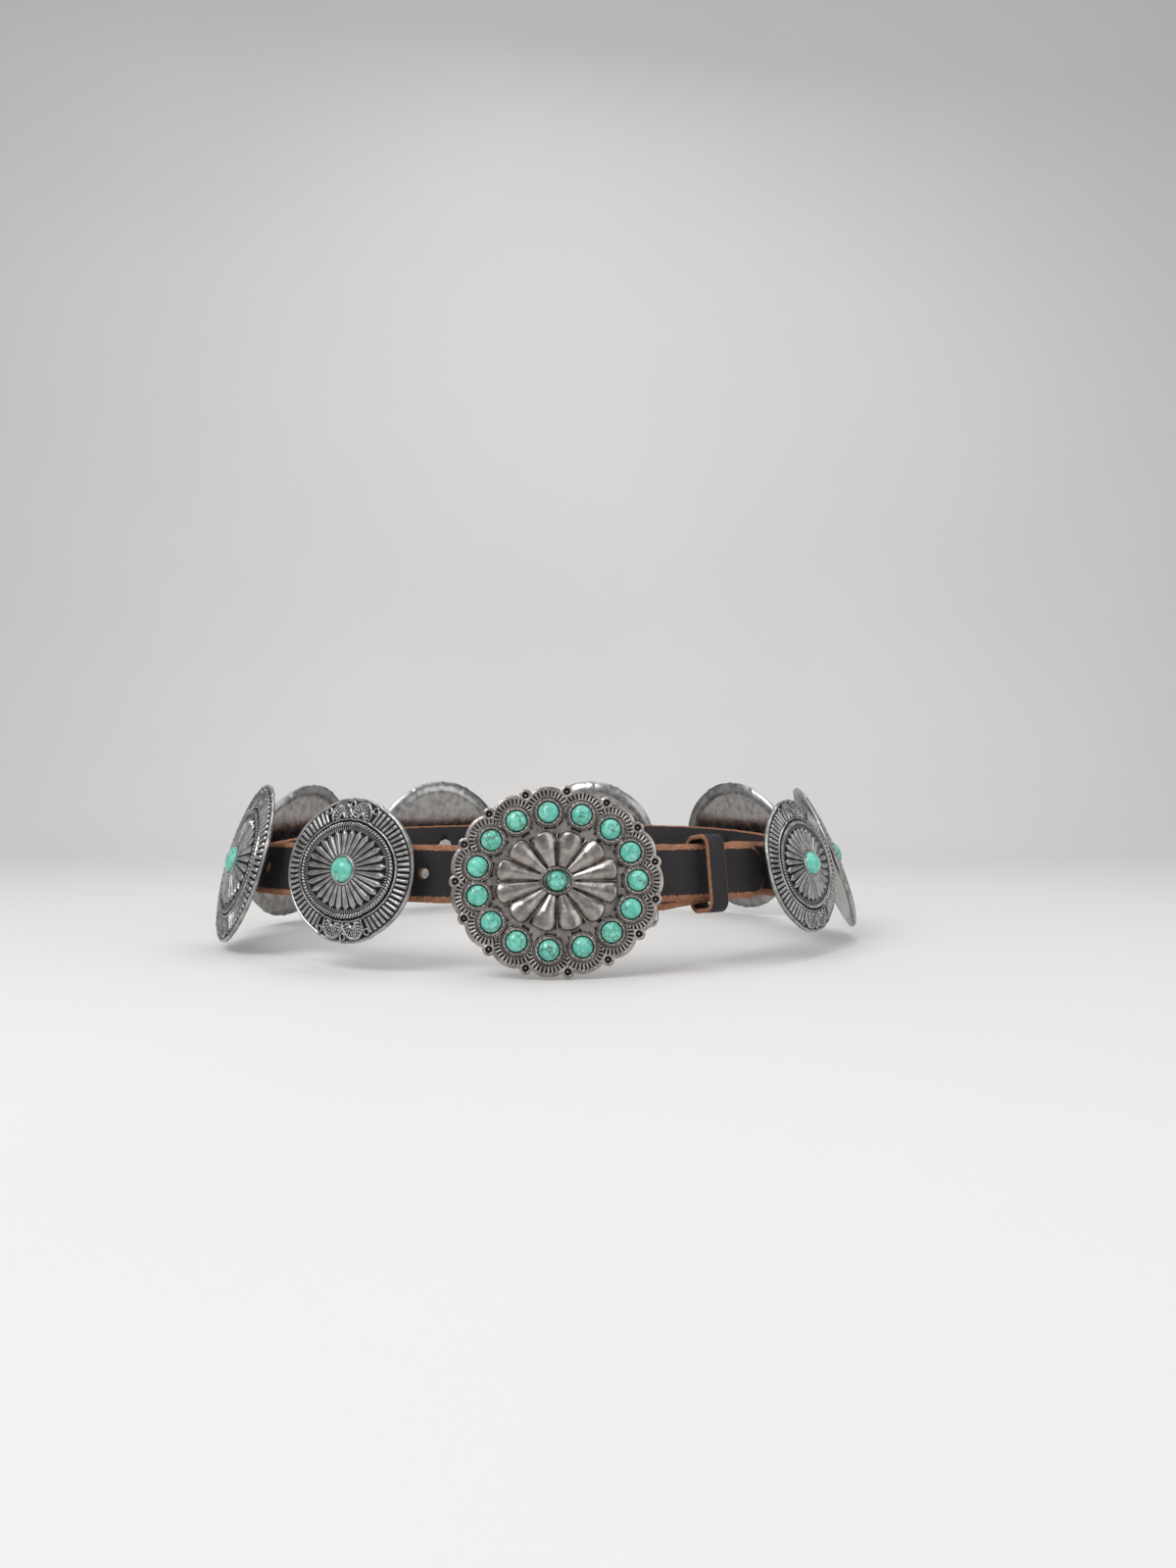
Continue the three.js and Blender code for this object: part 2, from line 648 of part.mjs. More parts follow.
function addConcho({ arc, size }, index) {
  const frame = station(arc);
  const plate = { ...frame, origin: pointAt(frame, 0, 0, CONCHO_LIFT) };
  const seatFloor = RIM_THICKNESS + (DOME_HEIGHT * size.width) / SMALL.width - POCKET_DEPTH;
  const stone = cabochon(size.stone / 2, size.stone * CONCHO_DOME, seatFloor + GAP, 10);
  const screwTop = -HALF - 2 * GAP;
  addPiece(`concho_plate_${index + 1}`, conchoSolid(size), SILVER, plate);
  addPiece(`concho_stone_${index + 1}`, stone, TURQUOISE, plate);
  const head = rod(SCREW_HEAD / 2, screwTop - SCREW_THICKNESS, screwTop, [0, 0], 8);
  addPiece(`concho_screw_${index + 1}`, head, STEEL, frame);
}

// Rivet: holds the folded end, sunk level with the layer that the tail lies on

function rivetSolid() {
  const up = underlay(RIVET_AT).up;
  const centre = [0, up];
  const headTop = -2 * LAYER - HALF - GAP;
  const shank = ellipse(8, RIVET_DIAMETER / 2, RIVET_DIAMETER / 2, -HALF - 2 * GAP, centre);
  return skin([
    [[...centre, -HALF - 2 * GAP]],
    shank,
    shank.map(([x, y]) => [x, y, headTop]),
    ellipse(8, RIVET_HEAD / 2, RIVET_HEAD / 2, headTop, centre),
    ellipse(8, RIVET_HEAD / 2, RIVET_HEAD / 2, headTop - SCREW_THICKNESS, centre),
    [[...centre, headTop - SCREW_THICKNESS]],
  ]);
}

addPiece('strap', strapSolid(), LEATHER);
addPiece('keeper_loop', keeperSolid(), LEATHER, station(KEEPER_AT));
addPiece('fold_rivet', rivetSolid(), STEEL, station(RIVET_AT));
addPiece('buckle_plate', buckleSolid(), PEWTER, buckleFrame);
addPiece('buckle_bar', barSolid(), STEEL);
stoneSeats.forEach(({ name, radius, centre }) => {
  const floor = plateFace + BEZEL_HEIGHT - POCKET_DEPTH + GAP;
  const stone = cabochon(radius, STONE_DOME + GAP, floor, 8);
  stone.points = stone.points.map(([x, y, z]) => [x + centre[0], y + centre[1], z]);
  addPiece(name, stone, TURQUOISE, buckleFrame);
});
conchos.forEach(addConcho);

export default belt;
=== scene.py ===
"""Concho belt: leather strap, keeper, stone-set plate buckle and eight oval conchos."""
import math

import bmesh
import bpy
from bpy.props import FloatProperty, IntProperty
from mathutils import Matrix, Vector


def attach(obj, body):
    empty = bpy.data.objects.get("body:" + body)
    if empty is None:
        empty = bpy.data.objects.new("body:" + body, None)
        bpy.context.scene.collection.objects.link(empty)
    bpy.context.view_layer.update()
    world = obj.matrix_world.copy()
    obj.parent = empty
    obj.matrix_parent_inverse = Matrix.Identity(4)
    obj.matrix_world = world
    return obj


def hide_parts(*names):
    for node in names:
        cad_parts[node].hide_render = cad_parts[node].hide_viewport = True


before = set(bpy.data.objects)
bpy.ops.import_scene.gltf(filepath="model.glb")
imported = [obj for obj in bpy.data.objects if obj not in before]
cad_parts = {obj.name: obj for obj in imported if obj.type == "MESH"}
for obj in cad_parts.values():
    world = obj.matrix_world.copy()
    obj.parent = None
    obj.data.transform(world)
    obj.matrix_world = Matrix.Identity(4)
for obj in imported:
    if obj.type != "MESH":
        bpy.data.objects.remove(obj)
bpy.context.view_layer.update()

bl_info = {
    "name": "Concho Belt",
    "version": (1, 0, 0),
    "blender": (4, 5, 0),
    "location": "3D View > Sidebar > Belt",
    "description": "Builds a concho belt with a plate buckle in worked silver, turquoise and leather",
    "category": "Add Mesh",
}

MM = 0.001
TAU = 2 * math.pi

# Waist loop and strap, as in the frame
WAIST_RADIUS = 137.9
WAIST_FLATNESS = 8.5
WAIST_SKEW = 2.35
WAIST_EGG = 2.04
LEAN_FRONT = 7
LEAN_SIDES = 15
SAG_SIDES = 4
BUCKLE_AZIMUTH = 3.5
STRAP_HALF_WIDTH = 12.5
STRAP_HALF = 1.5
BEVEL_WIDTH = 2.2
UNDERLAY_DROP = 3.6
UNDERLAY_RISE = 1.3
TIP_TUCK = 13
UNDERLAY_RUN = 45
RETURN_DELAY = 2
RETURN_SHARE = 0.75
SCREW_RADIUS = 4.5
TIP_RADIUS = 8
BAR_AT = 46
KEEPER_AT = 69.5
KEEPER_HALF_WIDTH = 4.65
KEEPER_HALF_DEPTH = 6.75
KEEPER_HALF_WALL = 1
KEEPER_SLACK = 2.9
KEEPER_EASE = 0.5
KEEPER_DROP = 0.85
KEEPER_CORNER = 4.6
FOLD_CLEARANCE = 2.6
GAP = 0.3
LAYER = 2 * STRAP_HALF + GAP
WIRE_RADIUS = 1.5
WIRE_WRAP = WIRE_RADIUS + STRAP_HALF + GAP
WIRE_DEPTH = -LAYER - WIRE_WRAP
FOLD_END = KEEPER_AT - KEEPER_HALF_WIDTH - FOLD_CLEARANCE
HOOK_HOLE_AT = -32
HOLE_PITCH = 26
HOLE_STEPS = (-1, 0, 1, 3, 4, 5)
HOLE_RADIUS = 2.4
POST_RADIUS = 2.0
RIVET_RADIUS = 1.8
RIVET_AT = FOLD_END - 4

# Buckle
BUCKLE_DROP = 3
BUCKLE_LIFT = 6.8
PLATE_THICKNESS = 1.8
PLATE_CROWN = 0.9
PLATE_FACE = BUCKLE_LIFT + PLATE_THICKNESS
STONE_COUNT = 15
STONE_RING = (34.1, 29.1)
LOBE_RADIUS = 11.2
EYELET_RING = (42.7, 38.2)
EYELET_RADIUS = 2.7
STONE_STEP = TAU / STONE_COUNT
PETAL_COUNT = 12
PETAL_RING = (26.9, 21.5)
PETAL_START = 6.5
PETAL_HALF = 5.2
PETAL_FILL = 0.985
BEZEL_TOP = PLATE_FACE + 2.6
BEZEL_RADIUS = 6.35
CENTRE_BEZEL = (7.75, 6.1)
POCKET_DEPTH = 1.4
STONE_RADIUS = 4.3
CENTRE_STONE_RADIUS = 4.1
STONE_DOME = 2.6
BAR_REACH = 18.5
BAR_CORNER = 4
HINGE_AT = 31
HINGE_HEIGHT = 2.2

# Conchos: half width, half height, stone radius and stone dome
SMALL = (34.5, 31.75, 5.5, 4.1)
LARGE = (41.5, 39.75, 6.5, 3.5)
CONCHO_LIFT = 8.5
RIM_THICKNESS = 1.2
DOME_HEIGHT = 5.1
RIM_UP = 0.975
FIRST_RIGHT = 54
SECOND_RIGHT = 87
FIRST_LEFT = -27.5
SECOND_LEFT = -63
BACK_COUNT = 4
IN_FRONT = (1, 2, 7, 8)
RAY_COUNT = 28


# The waist loop

def support(azimuth):
    return (WAIST_RADIUS - WAIST_FLATNESS * math.cos(2 * azimuth)
            - WAIST_SKEW * math.sin(2 * azimuth) + WAIST_EGG * math.sin(3 * azimuth))


def support_slope(azimuth):
    return (2 * WAIST_FLATNESS * math.sin(2 * azimuth)
            - 2 * WAIST_SKEW * math.cos(2 * azimuth) + 3 * WAIST_EGG * math.cos(3 * azimuth))


def arc_length(azimuth):
    return (WAIST_RADIUS * azimuth + 1.5 * WAIST_FLATNESS * math.sin(2 * azimuth)
            - 1.5 * WAIST_SKEW * math.cos(2 * azimuth) + 8 / 3 * WAIST_EGG * math.cos(3 * azimuth))


def bend_radius(azimuth):
    return (WAIST_RADIUS + 3 * WAIST_FLATNESS * math.cos(2 * azimuth)
            + 3 * WAIST_SKEW * math.sin(2 * azimuth) - 8 * WAIST_EGG * math.sin(3 * azimuth))


LOOP_LENGTH = TAU * WAIST_RADIUS
BUCKLE_ARC = arc_length(math.radians(BUCKLE_AZIMUTH))


def arc_at(degrees):
    return arc_length(math.radians(degrees)) - BUCKLE_ARC


FIRST_ARC = arc_at(FIRST_RIGHT)
TAIL_LENGTH = FIRST_ARC - SMALL[0] + TIP_TUCK
RETURN_RUN = (FIRST_ARC - SCREW_RADIUS - TAIL_LENGTH) * RETURN_SHARE


class Station:
    """A place on the strap's middle surface, with the directions along, up and out of it."""

    def __init__(self, arc):
        wanted = arc + BUCKLE_ARC
        azimuth = wanted / WAIST_RADIUS
        for _ in range(12):
            azimuth -= (arc_length(azimuth) - wanted) / bend_radius(azimuth)
        side = math.sin(azimuth) ** 4
        lean = math.radians(LEAN_FRONT + LEAN_SIDES * side)
        level = Vector((math.sin(azimuth), -math.cos(azimuth), 0))
        self.along = Vector((math.cos(azimuth), math.sin(azimuth), 0))
        self.origin = level * support(azimuth) + self.along * support_slope(azimuth)
        self.origin.z = -SAG_SIDES * side
        self.up = level * -math.sin(lean) + Vector((0, 0, math.cos(lean)))
        self.out = level * math.cos(lean) + Vector((0, 0, math.sin(lean)))

    def point(self, along, up, out):
        return self.origin + self.along * along + self.up * up + self.out * out

    def local(self, point):
        offset = point - self.origin
        return Vector((offset.dot(self.along), offset.dot(self.up), offset.dot(self.out)))


BUCKLE = Station(0)


def concho_rows():
    """(arc, size) of each concho, in order round the belt from the buckle's right."""
    start = arc_at(SECOND_RIGHT)
    end = LOOP_LENGTH + arc_at(SECOND_LEFT)
    rows = [(FIRST_ARC, SMALL), (start, LARGE)]
    rows += [(start + (end - start) * step / (BACK_COUNT + 1), LARGE)
             for step in range(1, BACK_COUNT + 1)]
    return rows + [(end, LARGE), (LOOP_LENGTH + arc_at(FIRST_LEFT), SMALL)]


# Shader nodes written as expressions

class Wave:
    """A shader socket that takes part in Python arithmetic."""

    def __init__(self, tree, socket):
        self.tree = tree
        self.socket = socket

    def math(self, operation, *others, swap=False, clamp=False):
        node = self.tree.nodes.new("ShaderNodeMath")
        node.operation = operation
        node.use_clamp = clamp
        values = [self, *others]
        if swap:
            values.reverse()
        for slot, value in zip(node.inputs, values):
            if isinstance(value, Wave):
                self.tree.links.new(value.socket, slot)
            else:
                slot.default_value = value
        return Wave(self.tree, node.outputs[0])

    def __add__(self, other):
        return self.math("ADD", other)

    __radd__ = __add__

    def __mul__(self, other):
        return self.math("MULTIPLY", other)

    __rmul__ = __mul__

    def __sub__(self, other):
        return self.math("SUBTRACT", other)

    def __rsub__(self, other):
        return self.math("SUBTRACT", other, swap=True)

    def __pow__(self, other):
        return self.math("POWER", other)

    def held(self):
        return self.math("ADD", 0.0, clamp=True)


class Look:
    """One material's node tree, with a method for nodes and one for its shader."""

    def __init__(self, name):
        self.material = bpy.data.materials.new(name)
        self.material.use_nodes = True
        self.tree = self.material.node_tree
        self.shader = self.tree.nodes["Principled BSDF"]

    def node(self, kind, output=0, settings=None, **sockets):
        made = self.tree.nodes.new(kind)
        for key, value in (settings or {}).items():
            setattr(made, key, value)
        for key, value in sockets.items():
            self.plug(made.inputs[key.replace("_", " ")], value)
        return Wave(self.tree, made.outputs[output])

    def plug(self, socket, value):
        if isinstance(value, Wave):
            self.tree.links.new(value.socket, socket)
        else:
            socket.default_value = value

    def noise(self, scale, detail=4.0, distortion=0.0):
        place = self.node("ShaderNodeTexCoord", output="Object")
        return self.node("ShaderNodeTexNoise", Vector=place, Scale=scale, Detail=detail,
                         Distortion=distortion)

    def ramp(self, wave, low, high):
        """0 where the wave is under low, 1 where it is over high."""
        return self.node("ShaderNodeMapRange", settings={"interpolation_type": "SMOOTHSTEP"},
                         Value=wave, From_Min=low, From_Max=high)

    def mix(self, factor, first, second):
        made = self.tree.nodes.new("ShaderNodeMix")
        made.data_type = "RGBA"
        self.plug(made.inputs[0], factor)
        self.plug(made.inputs[6], first)
        self.plug(made.inputs[7], second)
        return Wave(self.tree, made.outputs[2])

    def attribute(self, name):
        return self.node("ShaderNodeAttribute", output="Fac", settings={"attribute_name": name})

    def bump(self, height, distance, strength=1.0):
        return self.node("ShaderNodeBump", Height=height, Distance=distance, Strength=strength)

    def finish(self, **sockets):
        for key, value in sockets.items():
            self.plug(self.shader.inputs[key.replace("_", " ")], value)
        return self.material


def silver_look(name, bright, shade, dark):
    """Antique silver: bright where it is raised, black where the 'recess' attribute says."""
    look = Look(name)
    cloud = look.noise(240.0, 5.0)
    fine = look.noise(1900.0, 3.0)
    scratch = look.noise(700.0, 6.0, 1.5)
    recess = look.attribute("recess")
    soot = look.ramp(recess + (cloud - 0.5) * 0.25, 0.14, 0.8)
    tone = look.mix(look.ramp(cloud, 0.3, 0.7), shade, bright)
    colour = look.mix(soot, tone, dark)
    roughness = 0.27 + soot * 0.38 + (cloud - 0.5) * 0.16 + (fine - 0.5) * 0.08
    relief = fine * 0.35 + scratch * 0.65
    return look.finish(Base_Color=colour, Metallic=1.0 - soot * 0.35, Roughness=roughness.held(),
                       Normal=look.bump(relief, 0.00012, 0.4))


def steel_look():
    look = Look("fastener_steel")
    cloud = look.noise(300.0, 5.0)
    fine = look.noise(2200.0, 3.0)
    colour = look.mix(look.ramp(cloud, 0.3, 0.75), (0.42, 0.41, 0.40, 1), (0.62, 0.61, 0.60, 1))
    return look.finish(Base_Color=colour, Metallic=1.0, Roughness=0.24 + cloud * 0.2,
                       Normal=look.bump(fine, 0.00008, 0.4))


def turquoise_look():
    """Pale blue-green stone with patches of green and thin broken brown veins."""
    look = Look("turquoise")
    place = look.node("ShaderNodeTexCoord", output="Object")
    warp = look.noise(160.0, 3.0)
    patch = look.noise(210.0, 4.0, 0.6)
    bent = look.node("ShaderNodeVectorMath", settings={"operation": "MULTIPLY_ADD"})
    mixer = bent.socket.node
    look.plug(mixer.inputs[0], look.node("ShaderNodeTexNoise", output="Color", Vector=place,
                                         Scale=260.0, Detail=3.0))
    mixer.inputs[1].default_value = (0.003, 0.003, 0.003)
    look.plug(mixer.inputs[2], place)
    cell = look.node("ShaderNodeTexVoronoi", settings={"feature": "DISTANCE_TO_EDGE"},
                     Vector=bent, Scale=340.0)
    broken = look.ramp(warp, 0.4, 0.56)
    vein = (1.0 - look.ramp(cell, 0.0, 0.105)) * broken
    stone = look.mix(look.ramp(patch, 0.36, 0.66), (0.085, 0.48, 0.37, 1), (0.2, 0.66, 0.53, 1))
    pale = look.mix(look.ramp(look.noise(420.0, 5.0), 0.58, 0.78) * 0.5, stone, (0.44, 0.8, 0.69, 1))
    colour = look.mix(vein * 0.85, pale, (0.08, 0.078, 0.048, 1))
    look.shader.inputs["Coat Roughness"].default_value = 0.08
    look.shader.inputs["Subsurface Weight"].default_value = 0.06
    look.shader.inputs["Subsurface Scale"].default_value = 0.002
    return look.finish(Base_Color=colour, Roughness=0.3 + vein * 0.3, Coat_Weight=0.55 - vein * 0.4,
                       Normal=look.bump(1.0 - vein, 0.00012, 0.5))


def leather_face_look():
    """Nearly black oiled leather with fine grain, worn to ragged tan where 'raw' says."""
    look = Look("leather_face")
    grain = look.noise(1500.0, 6.0)
    cloud = look.noise(70.0, 5.0)
    pores = look.noise(3600.0, 2.0)
    torn = look.noise(900.0, 6.0, 0.5)
    black = look.mix(look.ramp(cloud, 0.35, 0.75), (0.0085, 0.0065, 0.0085, 1), (0.02, 0.0155, 0.018, 1))
    dusty = look.mix(look.ramp(grain, 0.55, 0.8) * 0.5, black, (0.042, 0.034, 0.036, 1))
    tan = look.mix(look.ramp(grain, 0.35, 0.65), (0.17, 0.068, 0.034, 1), (0.45, 0.2, 0.105, 1))
    raw = look.ramp(look.attribute("raw") + (torn - 0.5) * 1.5, 0.5, 0.62)
    return look.finish(Base_Color=look.mix(raw, dusty, tan), Roughness=0.62 + cloud * 0.22,
                       Normal=look.bump(grain * 0.7 + pores * 0.3, 0.0003, 0.55))


def leather_edge_look():
    """Raw tan edge: long fibres, darker streaks and a burnt line here and there."""
    look = Look("leather_edge")
    fibre = look.noise(1700.0, 7.0, 0.8)
    streak = look.noise(330.0, 5.0)
    burn = look.noise(120.0, 4.0)
    tan = look.mix(look.ramp(fibre, 0.32, 0.68), (0.16, 0.062, 0.03, 1), (0.47, 0.215, 0.115, 1))
    worn = look.mix(look.ramp(streak, 0.55, 0.8) * 0.6, tan, (0.6, 0.33, 0.2, 1))
    colour = look.mix(look.ramp(burn, 0.6, 0.78) * 0.55, worn, (0.06, 0.026, 0.016, 1))
    return look.finish(Base_Color=colour, Roughness=0.78 + fibre * 0.16,
                       Normal=look.bump(fibre * 0.8 + streak * 0.4, 0.0006, 0.8))


def backdrop_look():
    look = Look("studio_paper")
    cloud = look.noise(3.0, 3.0)
    tooth = look.noise(900.0, 4.0)
    colour = look.mix(cloud, (0.72, 0.705, 0.69, 1), (0.78, 0.765, 0.75, 1))
    return look.finish(Base_Color=colour, Roughness=0.88 + tooth * 0.08,
                       Normal=look.bump(tooth, 0.0002, 0.2))


LOOKS = {}


def look(name):
    """The material of that name, made once."""
    makers = {
        "concho_silver": lambda: silver_look(
            "concho_silver", (0.50, 0.49, 0.478, 1), (0.27, 0.265, 0.26, 1), (0.010, 0.009, 0.009, 1)),
        "buckle_silver": lambda: silver_look(
            "buckle_silver", (0.46, 0.425, 0.40, 1), (0.25, 0.225, 0.21, 1), (0.014, 0.012, 0.011, 1)),
        "fastener_steel": steel_look,
        "turquoise": turquoise_look,
        "leather_face": leather_face_look,
        "leather_edge": leather_edge_look,
        "studio_paper": backdrop_look,
    }
    if name not in LOOKS:
        LOOKS[name] = makers[name]()
    return LOOKS[name]


# Mesh helpers

def add_object(name, bm, looks, slot=None, nodes=(), smooth=True):
    """The finished mesh as an object that rides on the belt and stands for the given nodes."""
    bmesh.ops.recalc_face_normals(bm, faces=bm.faces)
    for face in bm.faces:
        face.smooth = smooth
    mesh = bpy.data.meshes.new(name)
    bm.to_mesh(mesh)
    bm.free()
    piece = bpy.data.objects.new(name, mesh)
    bpy.context.collection.objects.link(piece)
    for one in looks:
        mesh.materials.append(look(one))
    if slot:
        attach(piece, "root")
    if nodes:
        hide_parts(*nodes)
    return piece


def sweep(bm, rings, closed, materials=None):
    """Joins rings of points into a skin, with flat ends unless it is closed."""
    made = [[bm.verts.new(point * MM) for point in ring] for ring in rings]
    count = len(made[0])
    pairs = list(zip(made, made[1:]))
    if closed:
        pairs.append((made[-1], made[0]))
    for first, second in pairs:
        for index in range(count):
            after = (index + 1) % count
            face = bm.faces.new((first[index], first[after], second[after], second[index]))
            face.material_index = materials[index] if materials else 0
    if not closed:
        bm.faces.new(made[0])
        bm.faces.new(made[-1])
    return made


def bell(value, width):
    """1 at 0, falling smoothly to 0 at the width."""
    held = min(1.0, abs(value) / width)
    return (1 - held * held) ** 2


def rise_between(value, low, high):
    held = min(1.0, max(0.0, (value - low) / (high - low)))
    return held * held * (3 - 2 * held)


# Polar sheets: every worked plate, bezel, stone and post is one

def polar_sheet(bm, place, reach, height, angles, rows, back=None, share_at=None):
    """Adds a polar sheet to the mesh, and closes it underneath where a back height is given.

    rows are the rings from the middle to the rim, as shares of the way out, or as anything that
    share_at(row, turn) makes a share of. reach(turn) is the outline, height(x, y, row, turn) gives
    the rise and the recess for the patina, and place(x, y, z) puts a point into the belt.
    """
    rings = len(rows) - 1
    rim_rings = 3 if back is None else 6
    total = rings + rim_rings
    made = bmesh.ops.create_grid(bm, x_segments=angles, y_segments=total, size=0.5)["verts"]
    layer = bm.verts.layers.float.get("recess")
    for vert in made:
        turn = (vert.co.x + 0.5) * TAU
        step = round((vert.co.y + 0.5) * total)
        limit = reach(turn)
        if step <= rings:
            share = share_at(rows[step], turn) if share_at else rows[step]
            rise, recess = height(limit[0] * share, limit[1] * share, rows[step], turn)
        elif back is None:
            share = 1 - 0.02 * (step - rings)
            rise = height(limit[0], limit[1], rows[-1], turn)[0] - 0.4 * (step - rings)
            recess = 0.8
        else:
            share = 1 - (step - rings - 1) / (rim_rings - 1)
            rise = back(share)
            recess = 0.2
        vert.co = place(limit[0] * share, limit[1] * share, rise) * MM
        vert[layer] = recess
    bmesh.ops.remove_doubles(bm, verts=made, dist=0.000004)


def even_rows(count, low=0.0, high=1.0):
    return [low + (high - low) * step / count for step in range(count + 1)]


def circle(radius):
    return lambda turn: (radius * math.cos(turn), radius * math.sin(turn))


def new_plate_mesh():
    bm = bmesh.new()
    bm.verts.layers.float.new("recess")
    return bm


# Leather

def underlay(arc):
    """How far in and up the layer under the tail lies."""
    under = min(1.0, max(0.0, (arc - BAR_AT) / UNDERLAY_RUN))
    back = rise_between(arc, TAIL_LENGTH + RETURN_DELAY, TAIL_LENGTH + RETURN_DELAY + RETURN_RUN)
    height = -UNDERLAY_DROP + (UNDERLAY_DROP + UNDERLAY_RISE) * under
    return -LAYER * (1 - back), height * (1 - back)


def strap_rows():
    """(arc, out, up, half width) along the strap, from the folded end to the tip."""
    rows = []
    for step in range(8):
        arc = FOLD_END + (BAR_AT + 2 * WIRE_WRAP - FOLD_END) * step / 7
        rows.append((arc, -2 * LAYER, underlay(arc)[1], STRAP_HALF_WIDTH))
    start = rows[-1]
    for step in range(1, 7):
        ease = rise_between(step, 0, 7)
        arc = start[0] + (BAR_AT - start[0]) * step / 7
        out = -2 * LAYER + (WIRE_DEPTH - WIRE_WRAP + 2 * LAYER) * ease
        rows.append((arc, out, underlay(BAR_AT)[1], STRAP_HALF_WIDTH))
    for step in range(19):
        angle = math.pi * step / 18
        arc = BAR_AT - WIRE_WRAP * math.sin(angle)
        rows.append((arc, WIRE_DEPTH - WIRE_WRAP * math.cos(angle), underlay(BAR_AT)[1], STRAP_HALF_WIDTH))
    arc = BAR_AT + 2.5
    end = LOOP_LENGTH + TAIL_LENGTH
    while arc < end - TIP_RADIUS - 1:
        out, up = underlay(arc) if arc < LOOP_LENGTH / 2 else (0, 0)
        rows.append((arc, out, up, STRAP_HALF_WIDTH))
        arc += 2.5
    for step in range(13):
        angle = math.pi / 2 * step / 12
        inset = TIP_RADIUS * (1 - math.cos(angle))
        rows.append((end - TIP_RADIUS * (1 - math.sin(angle)), 0, 0, STRAP_HALF_WIDTH - inset))
    return rows


def strap_section(half):
    """Corners of the strap's section as (up, out, material): a flat back and bevelled raw edges."""
    inner = half - BEVEL_WIDTH
    return [
        (-half + 0.5, -1.5, 0), (half - 0.5, -1.5, 1), (half, -1.1, 1), (half, 0.1, 1),
        (half - 0.4, 0.55, 1), (inner + 0.5, 1.32, 0), (inner, 1.5, 0), (inner - 1.1, 1.5, 0),
        (inner * 0.4, 1.5, 0), (-inner * 0.4, 1.5, 0), (1.1 - inner, 1.5, 0), (-inner, 1.5, 0),
        (-inner - 0.5, 1.32, 1), (-half + 0.4, 0.55, 1), (-half, 0.1, 1), (-half, -1.1, 1),
    ]


def rawness(up, out):
    """1 on the strap's raw edge, falling to 0 on its black face."""
    return 1 - rise_between(STRAP_HALF_WIDTH - abs(up), 1.7, 3.3) if out > 0 else 0.0


def build_strap():
    rows = strap_rows()
    centres = [Station(arc).point(0, up, out) for arc, out, up, _ in rows]
    rings = []
    for index, (arc, _, _, half) in enumerate(rows):
        before = centres[max(0, index - 1)]
        heading = (centres[min(len(rows) - 1, index + 1)] - before).normalized()
        face = heading.cross(Station(arc).up).normalized()
        edge = face.cross(heading).normalized()
        fuzz = 0.12 * math.sin(arc * 1.7) + 0.1 * math.sin(arc * 3.9 + 1.3)
        rings.append([centres[index] + edge * (up + math.copysign(fuzz if mat else 0, up)) + face * out
                      for up, out, mat in strap_section(half)])
    materials = [row[2] for row in strap_section(STRAP_HALF_WIDTH)]
    bm = bmesh.new()
    raw = bm.verts.layers.float.new("raw")
    for ring in sweep(bm, rings, False, materials):
        for vert, (up, out, _) in zip(ring, strap_section(STRAP_HALF_WIDTH)):
            vert[raw] = rawness(up, out)
    for face in bm.faces:
        if len(face.verts) > 4:
            face.material_index = 1
    strap = add_object("strap_leather", bm, ("leather_face", "leather_edge"), "strap_leather", ["strap"])
    punch_holes(strap)
    return strap


def punch_holes(strap):
    """Cuts the hook holes and the post holes through the strap."""
    bm = bmesh.new()
    cuts = [(HOOK_HOLE_AT - step * HOLE_PITCH, HOLE_RADIUS, -3.0, 3.0) for step in HOLE_STEPS]
    cuts += [(arc, POST_RADIUS + GAP, -3.0, 3.0) for arc, _ in concho_rows()]
    cuts.append((RIVET_AT, RIVET_RADIUS, -3 * LAYER, -LAYER / 2))
    for arc, radius, low, high in cuts:
        station = Station(arc)
        lift = underlay(RIVET_AT)[1] if arc == RIVET_AT else 0
        made = bmesh.ops.create_cone(bm, cap_ends=True, segments=32, radius1=radius, radius2=radius,
                                     depth=1)["verts"]
        for vert in made:
            out = low + (vert.co.z + 0.5) * (high - low)
            vert.co = station.point(vert.co.x, vert.co.y + lift, out) * MM
    mesh = bpy.data.meshes.new("hole_cutter")
    bmesh.ops.recalc_face_normals(bm, faces=bm.faces)
    bm.to_mesh(mesh)
    bm.free()
    mesh.materials.append(look("leather_edge"))
    cutter = bpy.data.objects.new("hole_cutter", mesh)
    bpy.context.collection.objects.link(cutter)
    cut = strap.modifiers.new("holes", "BOOLEAN")
    cut.operation = "DIFFERENCE"
    cut.solver = "EXACT"
    cut.material_mode = "TRANSFER"
    cut.object = cutter
    graph = bpy.context.evaluated_depsgraph_get()
    carved = bpy.data.meshes.new_from_object(strap.evaluated_get(graph))
    strap.modifiers.clear()
    strap.data = carved
    bpy.data.objects.remove(cutter)
    bpy.data.meshes.remove(mesh)


